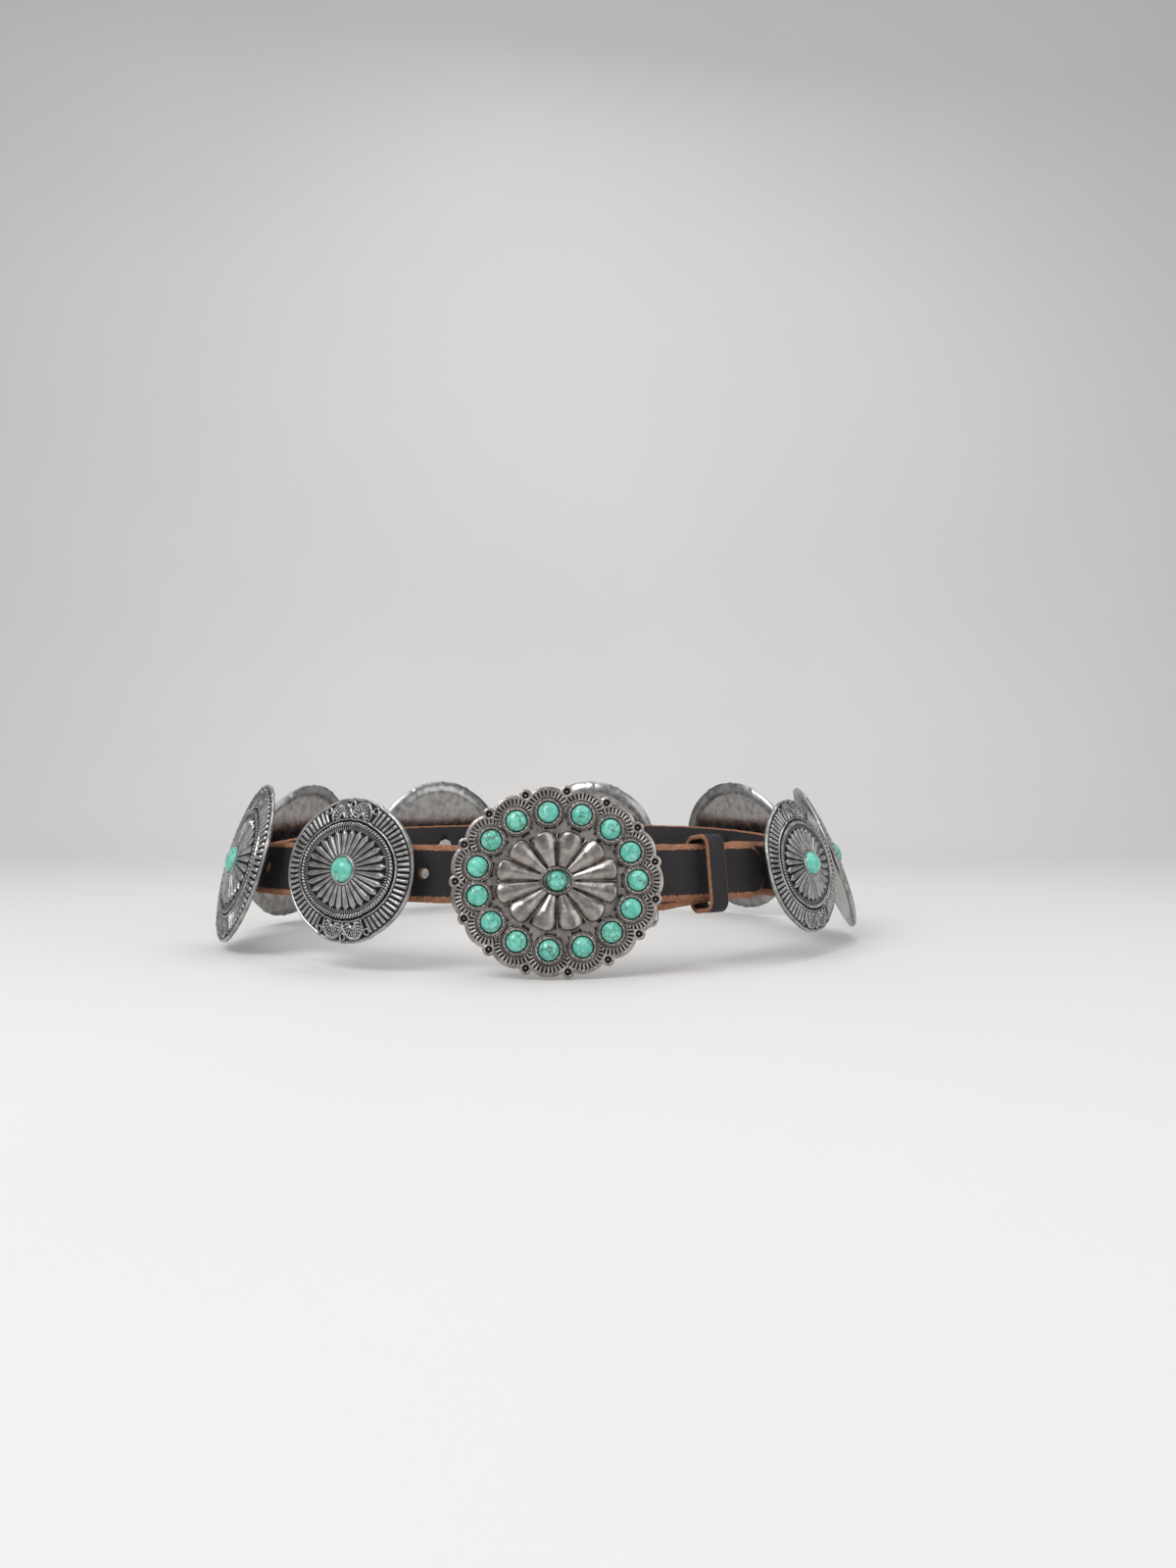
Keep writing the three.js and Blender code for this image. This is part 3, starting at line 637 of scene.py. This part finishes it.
def build_keeper():
    high = STRAP_HALF_WIDTH + KEEPER_SLACK + KEEPER_HALF_WALL
    deep = KEEPER_HALF_DEPTH + KEEPER_HALF_WALL
    middle = KEEPER_HALF_DEPTH - LAYER - STRAP_HALF - GAP - KEEPER_EASE
    side = KEEPER_HALF_WIDTH
    section = [(-side, -0.6, 1), (-side, 0.55, 1), (-4.2, 1.0, 0), (4.2, 1.0, 1), (side, 0.55, 1),
               (side, -0.6, 1), (4.3, -1.0, 0), (-4.3, -1.0, 1)]
    station = Station(KEEPER_AT)
    rings = []
    corner = KEEPER_CORNER
    for quarter, (up_side, out_side) in enumerate(((1, 1), (-1, 1), (-1, -1), (1, -1))):
        for step in range(11):
            turn = math.pi / 2 * (quarter + step / 10)
            ahead = (math.cos(turn), math.sin(turn))
            centre = (up_side * (high - corner) - KEEPER_DROP, out_side * (deep - corner) + middle)
            rings.append([station.point(along, centre[0] + (corner + rise) * ahead[0],
                                        centre[1] + (corner + rise) * ahead[1])
                          for along, rise, _ in section])
    bm = bmesh.new()
    sweep(bm, rings, True, [row[2] for row in section])
    return add_object("keeper_leather", bm, ("leather_face", "leather_edge"), "keeper_leather",
                      ["keeper_loop"])


# Conchos

# Where each band of a concho ends, as a share of the way to the rim, across and up: pocket, lip,
# rays, hatched ground, rope, groove, line, flutes or arches, rim
CONCHO_BANDS = (
    (0.0, 0.0), (0.163, 0.178), (0.195, 0.212), (0.630, 0.550), (0.675, 0.605), (0.735, 0.668),
    (0.750, 0.682), (0.788, 0.722), (0.957, 0.962), (1.0, 1.0),
)
CONCHO_HEIGHTS = (4.9, 6.1, 5.5, 3.25, 3.1, 2.95, 2.85, 2.7, 1.5, 1.2)
# How many rings of the mesh each band gets
CONCHO_ROWS = (2, 4, 21, 4, 9, 2, 6, 26, 7)
FLUTES = 72
ROPE_TURNS = 92
LOBE_STEP = math.radians(11.5)
ARCH_SIZE = (6.8, 7.7)
ARCH_EDGE = 2.35


def band_share(row, turn):
    """The share of the way to the rim for a (band, through) row, at a turn round the concho."""
    band, through = row
    side = math.cos(turn) ** 2
    low, high = (across * side + up * (1 - side) for across, up in CONCHO_BANDS[band:band + 2])
    return low + (high - low) * through


def concho_rows_out(coarse):
    """The rings of a concho as (band, through), two of them close together at every border."""
    rows = [(0, 0.0)]
    for band, count in enumerate(CONCHO_ROWS):
        count = max(2, count // coarse)
        rows += [(band, 0.03 + 0.94 * step / count) for step in range(count + 1)]
    return rows + [(8, 1.0)]


def ray_relief(through, turn):
    """Roof-shaped rays with pencil points, and dark gaps between them."""
    aside = abs((turn * RAY_COUNT / TAU) % 1 - 0.5) * 2
    width = 0.8 * min(1.0, (1 - through) / 0.15) + 0.001
    if aside > width:
        return -0.25, 1.0
    roof = 1 - aside / width
    crest = 0.55 + 0.85 * through
    return -0.25 + crest * min(1.0, roof * 1.5 + 0.35), max(0.0, 0.6 - roof * 5)


def from_the_top(turn):
    """Signed turn from the nearer of the concho's top and bottom, in steps of one arch."""
    return (abs(math.atan2(math.sin(turn), math.cos(turn))) - math.pi / 2) / LOBE_STEP


def arch_relief(through, turn):
    """Two arches with a crescent, beads and a fan of strokes, and pits between them."""
    from_top = from_the_top(turn)
    sideways = from_top - math.copysign(1, from_top)
    pit = min(abs(from_top), abs(abs(from_top) - 2.1))
    pit_far = math.hypot(pit * ARCH_SIZE[0], (through - 0.76) * ARCH_SIZE[1])
    if pit_far < 1.9:
        rim = bell(pit_far - 1.45, 0.55)
        return 0.1 + 0.75 * rim - (0.6 if pit_far < 1.0 else 0), 0.0 if rim > 0.3 else 1.0
    if abs(from_top) > 2:
        return -0.1, 0.9
    far = math.hypot(sideways, through * 1.04)
    swing = math.atan2(through + 0.02, sideways)
    if far < 0.16:
        return 0.0, 1.0
    if far < 0.5:
        leaf = bell(far - 0.34, 0.17)
        return 0.1 + 0.8 * leaf, max(0.0, 0.8 - leaf * 3)
    if far < 0.68:
        bead = bell((swing * 9 / math.pi) % 1 - 0.5, 0.42) * bell(far - 0.59, 0.1)
        return 0.8 * bead, max(0.0, 1.0 - bead * 3)
    if far < 0.9:
        return (0.5, 0.1) if math.cos(swing * 28) > 0 else (-0.05, 1.0)
    return (0.6, 0.0) if far < 1.06 else (0.0, 0.9)


def flute_relief(through, turn):
    """Rounded bars side by side, with black slots between them."""
    aside = abs((turn * FLUTES / TAU) % 1 - 0.5) / 0.34
    ends = min(1.0, through * 10) * min(1.0, (1 - through) * 8)
    if aside > 1 or ends < 0.35:
        return -0.15, 1.0
    return -0.1 + 1.05 * ends * math.sqrt(1 - aside * aside), 0.0 if aside < 0.8 else 0.35


def band_relief(band, through, turn):
    """Rise above the plain dome, and recess, inside one band."""
    if band == 0:
        return 0.0, 1.0
    if band == 1:
        lip = bell(through - 0.45, 0.6)
        return 0.3 * lip, max(0.0, 0.9 - lip * 2.2)
    if band == 2:
        return ray_relief(through, turn)
    if band == 3:
        stripe = 0.5 + 0.5 * math.cos(turn * 4 * RAY_COUNT)
        return 0.25 * stripe, 0.25 + 0.65 * (1 - stripe)
    if band == 4:
        twist = 0.5 + 0.5 * math.cos(turn * ROPE_TURNS + (through - 0.5) * 4)
        round_top = math.sqrt(max(0.0, 1 - (2 * through - 1) ** 2))
        return (0.55 + 0.5 * twist) * round_top, 1.0 if twist < 0.2 or round_top < 0.4 else 0.1
    if band == 5:
        return -0.2, 1.0
    if band == 6:
        line = bell(through - 0.5, 0.5)
        return 0.75 * line, max(0.0, 0.9 - line * 3)
    if band == 7:
        relief = arch_relief if abs(from_the_top(turn)) < ARCH_EDGE else flute_relief
        return relief(through, turn)
    return 0.45 * bell(through - 0.6, 0.5), 1.0 if through < 0.12 else 0.0


def concho_reach(size):
    """The rim: an oval with two scallops and three small bumps at the top and at the bottom."""
    def reach(turn):
        steps = from_the_top(turn)
        swell = 1 + 0.012 * bell(steps, 3.4)
        if abs(steps) < 2:
            swell += 0.02 * abs(math.sin(math.pi / 2 * steps)) ** 0.7
        swell += 0.022 * bell(steps, 0.34) + 0.016 * bell(abs(steps) - 2.1, 0.34)
        return size[0] * math.cos(turn) * swell, size[1] * RIM_UP * swell * math.sin(turn)
    return reach


def concho_height(size):
    scale = size[0] / SMALL[0]

    def height(_x, _y, row, turn):
        band, through = row
        plain = CONCHO_HEIGHTS[band] * (1 - through) + CONCHO_HEIGHTS[band + 1] * through
        if band == 0:
            plain = CONCHO_HEIGHTS[0]
        rise, recess = band_relief(band, through, turn)
        return RIM_THICKNESS + (plain - RIM_THICKNESS + rise) * scale, min(1.0, recess)
    return height


def concho_back(size):
    scale = size[0] / SMALL[0]
    return lambda share: 1.6 * scale * (1 - share * share)


def build_concho(index, arc, size):
    station = Station(arc)
    place = lambda x, y, z: station.point(x, y, CONCHO_LIFT + z)
    bm = new_plate_mesh()
    in_front = index in IN_FRONT
    polar_sheet(bm, place, concho_reach(size), concho_height(size), 576 if in_front else 432,
                concho_rows_out(1 if in_front else 2), concho_back(size), band_share)
    polar_sheet(bm, place, circle(POST_RADIUS), lambda x, y, share, turn: (1.8, 0.4), 24,
                even_rows(2), lambda share: -CONCHO_LIFT - STRAP_HALF - GAP)
    add_object(f"concho_worked_{index}", bm, ("concho_silver",), "concho_silver",
               [f"concho_plate_{index}"])
    lip = RIM_THICKNESS + DOME_HEIGHT * size[0] / SMALL[0]
    build_stone(f"concho_cabochon_{index}", place, size[2], size[3], lip - POCKET_DEPTH + GAP,
                f"concho_stone_{index}")


def build_stone(name, place, radius, dome, floor, node):
    """A round cabochon on a flat base."""
    bm = new_plate_mesh()
    polar_sheet(
        bm, place, circle(radius),
        lambda x, y, share, turn: (floor + 0.5 + dome * max(0.0, 1 - share ** 2.15) ** 0.56, 0.0),
        48, [math.sin(math.pi / 2 * step / 14) for step in range(15)], lambda share: floor)
    add_object(name, bm, ("turquoise",), "turquoise", [node])


# Buckle

def on_ring(ring, turn):
    return ring[0] * math.cos(turn), ring[1] * math.sin(turn)


def ray_reach(ahead, centre, radius):
    along = ahead[0] * centre[0] + ahead[1] * centre[1]
    aside = ahead[0] * centre[1] - ahead[1] * centre[0]
    return along + math.sqrt(radius ** 2 - aside ** 2) if abs(aside) < radius else 0.0


STONES = [on_ring(STONE_RING, index * STONE_STEP) for index in range(STONE_COUNT)]
EYELETS = [on_ring(EYELET_RING, (index + 0.5) * STONE_STEP) for index in range(STONE_COUNT)]


def buckle_reach(turn):
    ahead = (math.cos(turn), math.sin(turn))
    reach = max(max(ray_reach(ahead, stone, LOBE_RADIUS) for stone in STONES),
                max(ray_reach(ahead, eyelet, EYELET_RADIUS) for eyelet in EYELETS))
    return ahead[0] * reach, ahead[1] * reach


def buckle_height(x, y, share, _turn):
    """The plate's ground: stamped lobes round the stones, eyelet pits, and a low crown inside."""
    inside = math.hypot(x / PETAL_RING[0], y / PETAL_RING[1])
    plain = PLATE_FACE + PLATE_CROWN * (1 - rise_between(inside, 0.95, 1.75))
    far, stone = min((math.hypot(x - sx, y - sy), (sx, sy)) for sx, sy in STONES)
    pit_far = min(math.hypot(x - ex, y - ey) for ex, ey in EYELETS)
    if pit_far < 2.35:
        if pit_far < 0.5:
            return plain - 0.05, 0.15
        rim = bell(pit_far - 1.85, 0.75)
        return plain + 0.6 * rim - (0.8 if pit_far < 1.3 else 0), 1.0 if pit_far < 1.35 else 0.55 - rim
    if far < 6.7:
        return plain, 1.0
    if inside < 1.3:
        return plain, 0.95 if inside < 0.9 else 0.26
    swing = math.atan2(y - stone[1], x - stone[0])
    if far < 9.9:
        stroke = math.cos((swing - math.atan2(stone[1], stone[0])) * 32)
        width = rise_between(far, 6.9, 7.2) * (1 - rise_between(far, 9.4, 9.8))
        groove = rise_between(stroke, -0.1, 0.3) * width
        return plain + 0.35 - 0.6 * groove, groove
    return plain + 0.4 - 0.25 * bell(share - 1.0, 0.03), 0.04


def petal_outline(turn):
    """Half width of a petal, and its length: a sector with a full, round outer end."""
    tip = on_ring(PETAL_RING, turn)
    length = math.hypot(*tip)
    sides = [on_ring(PETAL_RING, turn + side * math.pi / PETAL_COUNT) for side in (-1, 1)]
    first, last = (math.atan2(side[1], side[0]) for side in sides)
    spread = math.tan(((last - first) % TAU) / 2) * PETAL_FILL

    def half(share):
        reach = PETAL_START + (length - PETAL_START) * share
        cap = math.sqrt(max(0.0, 1 - max(0.0, (share - 0.77) / 0.23) ** 2.5))
        return min(PETAL_HALF, reach * spread) * cap
    return half, length, (tip[0] / length, tip[1] / length)


def add_petal(bm, turn):
    """A domed teardrop petal as a lengthwise grid."""
    half, length, ahead = petal_outline(turn)
    layer = bm.verts.layers.float.get("recess")
    made = bmesh.ops.create_grid(bm, x_segments=26, y_segments=44, size=0.5)["verts"]
    for vert in made:
        share = vert.co.y + 0.5
        aside = math.sin(vert.co.x * math.pi)
        width = half(share)
        reach = PETAL_START + (length - PETAL_START) * share
        curve = math.sqrt(max(0.0, 1 - aside * aside))
        full = min(1.0, width / 4.4)
        rise = PLATE_FACE + 0.3 + (0.9 + 3.1 * full ** 1.1) * curve ** 0.85
        across = aside * width
        x = ahead[0] * reach - ahead[1] * across
        y = ahead[1] * reach + ahead[0] * across
        vert.co = BUCKLE.point(x, y - BUCKLE_DROP, rise) * MM
        vert[layer] = max(0.0, 0.9 - curve * 4.0) if width > 0.3 else 0.9


def add_rib(bm, turn):
    """The thin raised line between two petals."""
    start = on_ring((9.4, 7.6), turn)
    end = on_ring((PETAL_RING[0] * 0.93, PETAL_RING[1] * 0.93), turn)
    layer = bm.verts.layers.float.get("recess")
    made = bmesh.ops.create_grid(bm, x_segments=6, y_segments=24, size=0.5)["verts"]
    length = math.hypot(end[0] - start[0], end[1] - start[1])
    ahead = ((end[0] - start[0]) / length, (end[1] - start[1]) / length)
    for vert in made:
        share = vert.co.y + 0.5
        across = vert.co.x * (0.5 + 0.5 * share)
        x = start[0] + ahead[0] * length * share - ahead[1] * across
        y = start[1] + ahead[1] * length * share + ahead[0] * across
        rise = PLATE_FACE + 0.7 + 1.1 * math.cos(vert.co.x * math.pi) * math.sqrt(math.sin(
            math.pi * min(0.98, max(0.02, share))))
        vert.co = BUCKLE.point(x, y - BUCKLE_DROP, rise) * MM
        vert[layer] = 0.1 if abs(across) < 0.2 else 0.6


def bezel_height(pocket, blocks, floor):
    """Across a bezel: dark gap, worked blocks, thin outer ring and a wall."""
    def height(x, y, share, turn):
        if share < pocket:
            return BEZEL_TOP + floor[0], floor[1]
        if share < pocket + 0.035:
            return BEZEL_TOP - 0.6, 0.9
        if share < 0.91:
            gap = abs((turn * blocks / TAU) % 1 - 0.5) * 2
            middle = (share - pocket - 0.035) / (0.91 - pocket - 0.035)
            dome = math.sqrt(max(0.0, 1 - (2 * middle - 1) ** 4))
            if gap > 0.78:
                return BEZEL_TOP - 0.75, 1.0
            return BEZEL_TOP - 0.55 + 0.6 * dome, max(0.0, 0.25 - dome)
        if share < 0.94:
            return BEZEL_TOP - 0.8, 1.0
        return BEZEL_TOP - 0.4 - (1.9 if share > 0.995 else 0), 0.1
    return height


def add_bezel(bm, centre, outer, pocket, blocks, floor=(-POCKET_DEPTH, 1.0)):
    place = lambda x, y, z: BUCKLE.point(centre[0] + x, centre[1] - BUCKLE_DROP + y, z)
    rows = [0.0, pocket * 0.97] + even_rows(18, pocket, 1.0)
    polar_sheet(bm, place, lambda turn: (outer[0] * math.cos(turn), outer[1] * math.sin(turn)),
                bezel_height(pocket, blocks, floor), blocks * 8, rows)


def build_buckle():
    bm = new_plate_mesh()
    place = lambda x, y, z: BUCKLE.point(x, y - BUCKLE_DROP, z)
    rows = even_rows(13, 0.0, 0.69) + even_rows(52, 0.7, 1.0)
    polar_sheet(bm, place, buckle_reach, buckle_height, 900, rows, lambda share: BUCKLE_LIFT)
    add_hook_and_hinge(bm)
    add_object("buckle_worked", bm, ("buckle_silver",), "buckle_silver", ["buckle_plate"])
    bm = new_plate_mesh()
    for index in range(PETAL_COUNT):
        add_petal(bm, (index + 0.5) * TAU / PETAL_COUNT)
        add_rib(bm, index * TAU / PETAL_COUNT)
    for stone in STONES:
        add_bezel(bm, stone, (BEZEL_RADIUS, BEZEL_RADIUS), 0.70, 15)
    add_bezel(bm, (0, 0), CENTRE_BEZEL, 0.76, 20, (-0.9, 0.1))
    add_object("buckle_settings", bm, ("buckle_silver",), "buckle_silver", ["buckle_plate"])


def add_box(bm, low, high):
    made = bmesh.ops.create_cube(bm, size=1)["verts"]
    layer = bm.verts.layers.float.get("recess")
    for vert in made:
        corner = [low[axis] + (vert.co[axis] + 0.5) * (high[axis] - low[axis]) for axis in range(3)]
        vert.co = BUCKLE.point(*corner) * MM
        vert[layer] = 0.5
    edges = {edge for vert in made for edge in vert.link_edges}
    bmesh.ops.bevel(bm, geom=list(edges), offset=0.0004, offset_type="OFFSET", segments=2,
                    profile=0.5, affect="EDGES", material=-1)


def add_hook_and_hinge(bm):
    hole = BUCKLE.local(Station(HOOK_HOLE_AT).origin)
    back = hole[2] - STRAP_HALF - 3 * GAP - 1.8
    peg = lambda x, y, z: BUCKLE.point(hole[0] + x, hole[1] + y, z)
    polar_sheet(bm, peg, circle(1.5), lambda x, y, share, turn: (BUCKLE_LIFT + 0.5, 0.5), 24, even_rows(2),
                lambda share: back)
    add_box(bm, (hole[0] - 4, hole[1] - 1.5, back - 0.9), (hole[0] + 1.5, hole[1] + 1.5, back + 0.9))
    bottom = HINGE_HEIGHT - WIRE_RADIUS - GAP - 1.05
    low = HINGE_HEIGHT - WIRE_RADIUS - GAP
    high = HINGE_HEIGHT + WIRE_RADIUS + GAP
    up = (-BUCKLE_DROP - 8, -BUCKLE_DROP + 8)
    add_box(bm, (HINGE_AT - 2.7, up[0], bottom), (HINGE_AT + 2.7, up[1], low))
    for side in (-2.7, 1.8):
        add_box(bm, (HINGE_AT + side, up[0], low - 0.2), (HINGE_AT + side + 0.9, up[1], BUCKLE_LIFT + 0.4))
    add_box(bm, (HINGE_AT - 2.2, up[0], high), (HINGE_AT + 2.2, up[1], BUCKLE_LIFT + 0.3))


def build_bar():
    free = Station(BAR_AT)
    lift = underlay(BAR_AT)[1]
    corners = [
        BUCKLE.point(HINGE_AT, -BUCKLE_DROP - BAR_REACH, HINGE_HEIGHT),
        free.point(0, lift - BAR_REACH, WIRE_DEPTH),
        free.point(0, lift + BAR_REACH, WIRE_DEPTH),
        BUCKLE.point(HINGE_AT, -BUCKLE_DROP + BAR_REACH, HINGE_HEIGHT),
    ]
    path = []
    for index, corner in enumerate(corners):
        before = corner + (corners[index - 1] - corner).normalized() * BAR_CORNER
        after = corner + (corners[(index + 1) % 4] - corner).normalized() * BAR_CORNER
        for step in range(9):
            share = step / 8
            path.append(before * (1 - share) ** 2 + corner * 2 * share * (1 - share) + after * share ** 2)
    face = (corners[1] - corners[0]).cross(corners[3] - corners[0]).normalized()
    rings = []
    for index, point in enumerate(path):
        heading = (path[(index + 1) % len(path)] - path[index - 1]).normalized()
        side = heading.cross(face).normalized()
        top = side.cross(heading).normalized()
        rings.append([point + (side * math.cos(TAU * spoke / 20) + top * math.sin(TAU * spoke / 20))
                      * WIRE_RADIUS for spoke in range(20)])
    bm = bmesh.new()
    sweep(bm, rings, True)
    add_object("bar_wire", bm, ("fastener_steel",), "fastener_steel", ["buckle_bar"])


def build_buckle_stones():
    for index, stone in enumerate(STONES + [(0.0, 0.0)]):
        radius = STONE_RADIUS if index < STONE_COUNT else CENTRE_STONE_RADIUS
        node = f"buckle_stone_{index + 1}" if index < STONE_COUNT else "buckle_stone_centre"
        place = lambda x, y, z, at=stone: BUCKLE.point(at[0] + x, at[1] - BUCKLE_DROP + y, z)
        floor = BEZEL_TOP - POCKET_DEPTH + GAP
        build_stone(f"buckle_cabochon_{index + 1}", place, radius, STONE_DOME, floor, node)


def dress_hidden_nodes():
    for name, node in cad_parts.items():
        if name.startswith("concho_screw") or name == "fold_rivet":
            node.data.materials.clear()
            node.data.materials.append(look("fastener_steel"))


# Stage

CAMERA_AT = (0.025, -0.616, 0.039)
FLOOR_DROP = 0.043
FLOOR_WIDTH = 5
FLOOR_LENGTH = 2.6
FLOOR_FRONT = -0.9
FLOOR_FLAT = 1.55
FLOOR_BEND = 0.35
WALL_STRETCH = 3


def build_stage(lens, key_power):
    floor_mesh = bpy.data.meshes.new("backdrop")
    bm = bmesh.new()
    made = bmesh.ops.create_grid(bm, x_segments=2, y_segments=48, size=0.5)["verts"]
    for vert in made:
        run = (vert.co.y + 0.5) * FLOOR_LENGTH
        turn = min(math.pi / 2, max(0.0, run - FLOOR_FLAT) / FLOOR_BEND)
        y = FLOOR_FRONT + min(run, FLOOR_FLAT) + FLOOR_BEND * math.sin(turn)
        wall = max(0.0, run - FLOOR_FLAT - FLOOR_BEND * math.pi / 2) * WALL_STRETCH
        z = -FLOOR_DROP + FLOOR_BEND * (1 - math.cos(turn)) + wall
        vert.co = Vector((vert.co.x * FLOOR_WIDTH, y, z))
    for face in bm.faces:
        face.smooth = True
    bmesh.ops.recalc_face_normals(bm, faces=bm.faces)
    bm.to_mesh(floor_mesh)
    bm.free()
    floor_mesh.materials.append(look("studio_paper"))
    floor = bpy.data.objects.new("backdrop", floor_mesh)
    bpy.context.collection.objects.link(floor)
    camera_data = bpy.data.cameras.new("camera")
    camera_data.lens = lens
    camera_data.sensor_width = 36
    camera = bpy.data.objects.new("camera", camera_data)
    camera.location = CAMERA_AT
    camera.rotation_euler = (math.pi / 2, 0, 0)
    bpy.context.collection.objects.link(camera)
    bpy.context.scene.camera = camera
    lights = (
        ("key", (-0.55, -0.85, 0.95), 0.7, key_power), ("fill", (0.85, -0.7, 0.35), 0.9, key_power * 0.32),
        ("top", (0.1, 0.1, 1.2), 1.0, key_power * 0.65),
    )
    for name, place, size, power in lights:
        data = bpy.data.lights.new(name, "AREA")
        data.size = size
        data.energy = power
        lamp = bpy.data.objects.new(name, data)
        lamp.location = place
        lamp.rotation_euler = (Vector((0, -0.05, 0)) - Vector(place)).to_track_quat("-Z", "Y").to_euler()
        bpy.context.collection.objects.link(lamp)
    world = bpy.data.worlds.new("soft_room")
    world.use_nodes = True
    world.node_tree.nodes["Background"].inputs["Color"].default_value = (0.9, 0.92, 0.95, 1)
    world.node_tree.nodes["Background"].inputs["Strength"].default_value = 0.45
    bpy.context.scene.world = world
    bpy.context.scene.view_settings.view_transform = "Standard"


# Add-on

class BeltSettings(bpy.types.PropertyGroup):
    """What the user can set."""

    lens: FloatProperty(name="Lens", description="Camera focal length", default=26.0, unit="CAMERA")
    key_power: FloatProperty(name="Key power", description="Main light", default=9.0, unit="POWER")
    conchos: IntProperty(name="Conchos", description="How many conchos are dressed", default=8)


class BELT_OT_leather(bpy.types.Operator):
    """Builds the strap and its keeper"""

    bl_idname = "belt.leather"
    bl_label = "Leather"

    def execute(self, context):
        build_strap()
        build_keeper()
        return {"FINISHED"}


class BELT_OT_buckle(bpy.types.Operator):
    """Builds the plate buckle with its bar and stones"""

    bl_idname = "belt.buckle"
    bl_label = "Buckle"

    def execute(self, context):
        build_buckle()
        build_bar()
        build_buckle_stones()
        return {"FINISHED"}


class BELT_OT_conchos(bpy.types.Operator):
    """Builds the conchos with their stones, and dresses the screw heads"""

    bl_idname = "belt.conchos"
    bl_label = "Conchos"

    def execute(self, context):
        rows = concho_rows()[:context.scene.belt_settings.conchos]
        for index, (arc, size) in enumerate(rows):
            build_concho(index + 1, arc, size)
        dress_hidden_nodes()
        return {"FINISHED"}


class BELT_OT_stage(bpy.types.Operator):
    """Builds the pale backdrop, the camera and the lights"""

    bl_idname = "belt.stage"
    bl_label = "Stage"

    def execute(self, context):
        settings = context.scene.belt_settings
        build_stage(settings.lens, settings.key_power)
        return {"FINISHED"}


class BELT_PT_panel(bpy.types.Panel):
    """Sidebar panel with the belt's settings and operators"""

    bl_label = "Concho Belt"
    bl_idname = "BELT_PT_panel"
    bl_space_type = "VIEW_3D"
    bl_region_type = "UI"
    bl_category = "Belt"

    def draw(self, context):
        settings = context.scene.belt_settings
        for name in ("lens", "key_power", "conchos"):
            self.layout.prop(settings, name)
        for operator in ("belt.leather", "belt.buckle", "belt.conchos", "belt.stage"):
            self.layout.operator(operator)


CLASSES = (BeltSettings, BELT_OT_leather, BELT_OT_buckle, BELT_OT_conchos, BELT_OT_stage, BELT_PT_panel)


def register():
    for one in CLASSES:
        bpy.utils.register_class(one)
    bpy.types.Scene.belt_settings = bpy.props.PointerProperty(type=BeltSettings)


def unregister():
    del bpy.types.Scene.belt_settings
    for one in reversed(CLASSES):
        bpy.utils.unregister_class(one)


def main():
    register()
    bpy.ops.belt.stage()
    bpy.ops.belt.leather()
    bpy.ops.belt.buckle()
    bpy.ops.belt.conchos()


if __name__ == "__main__":
    main()
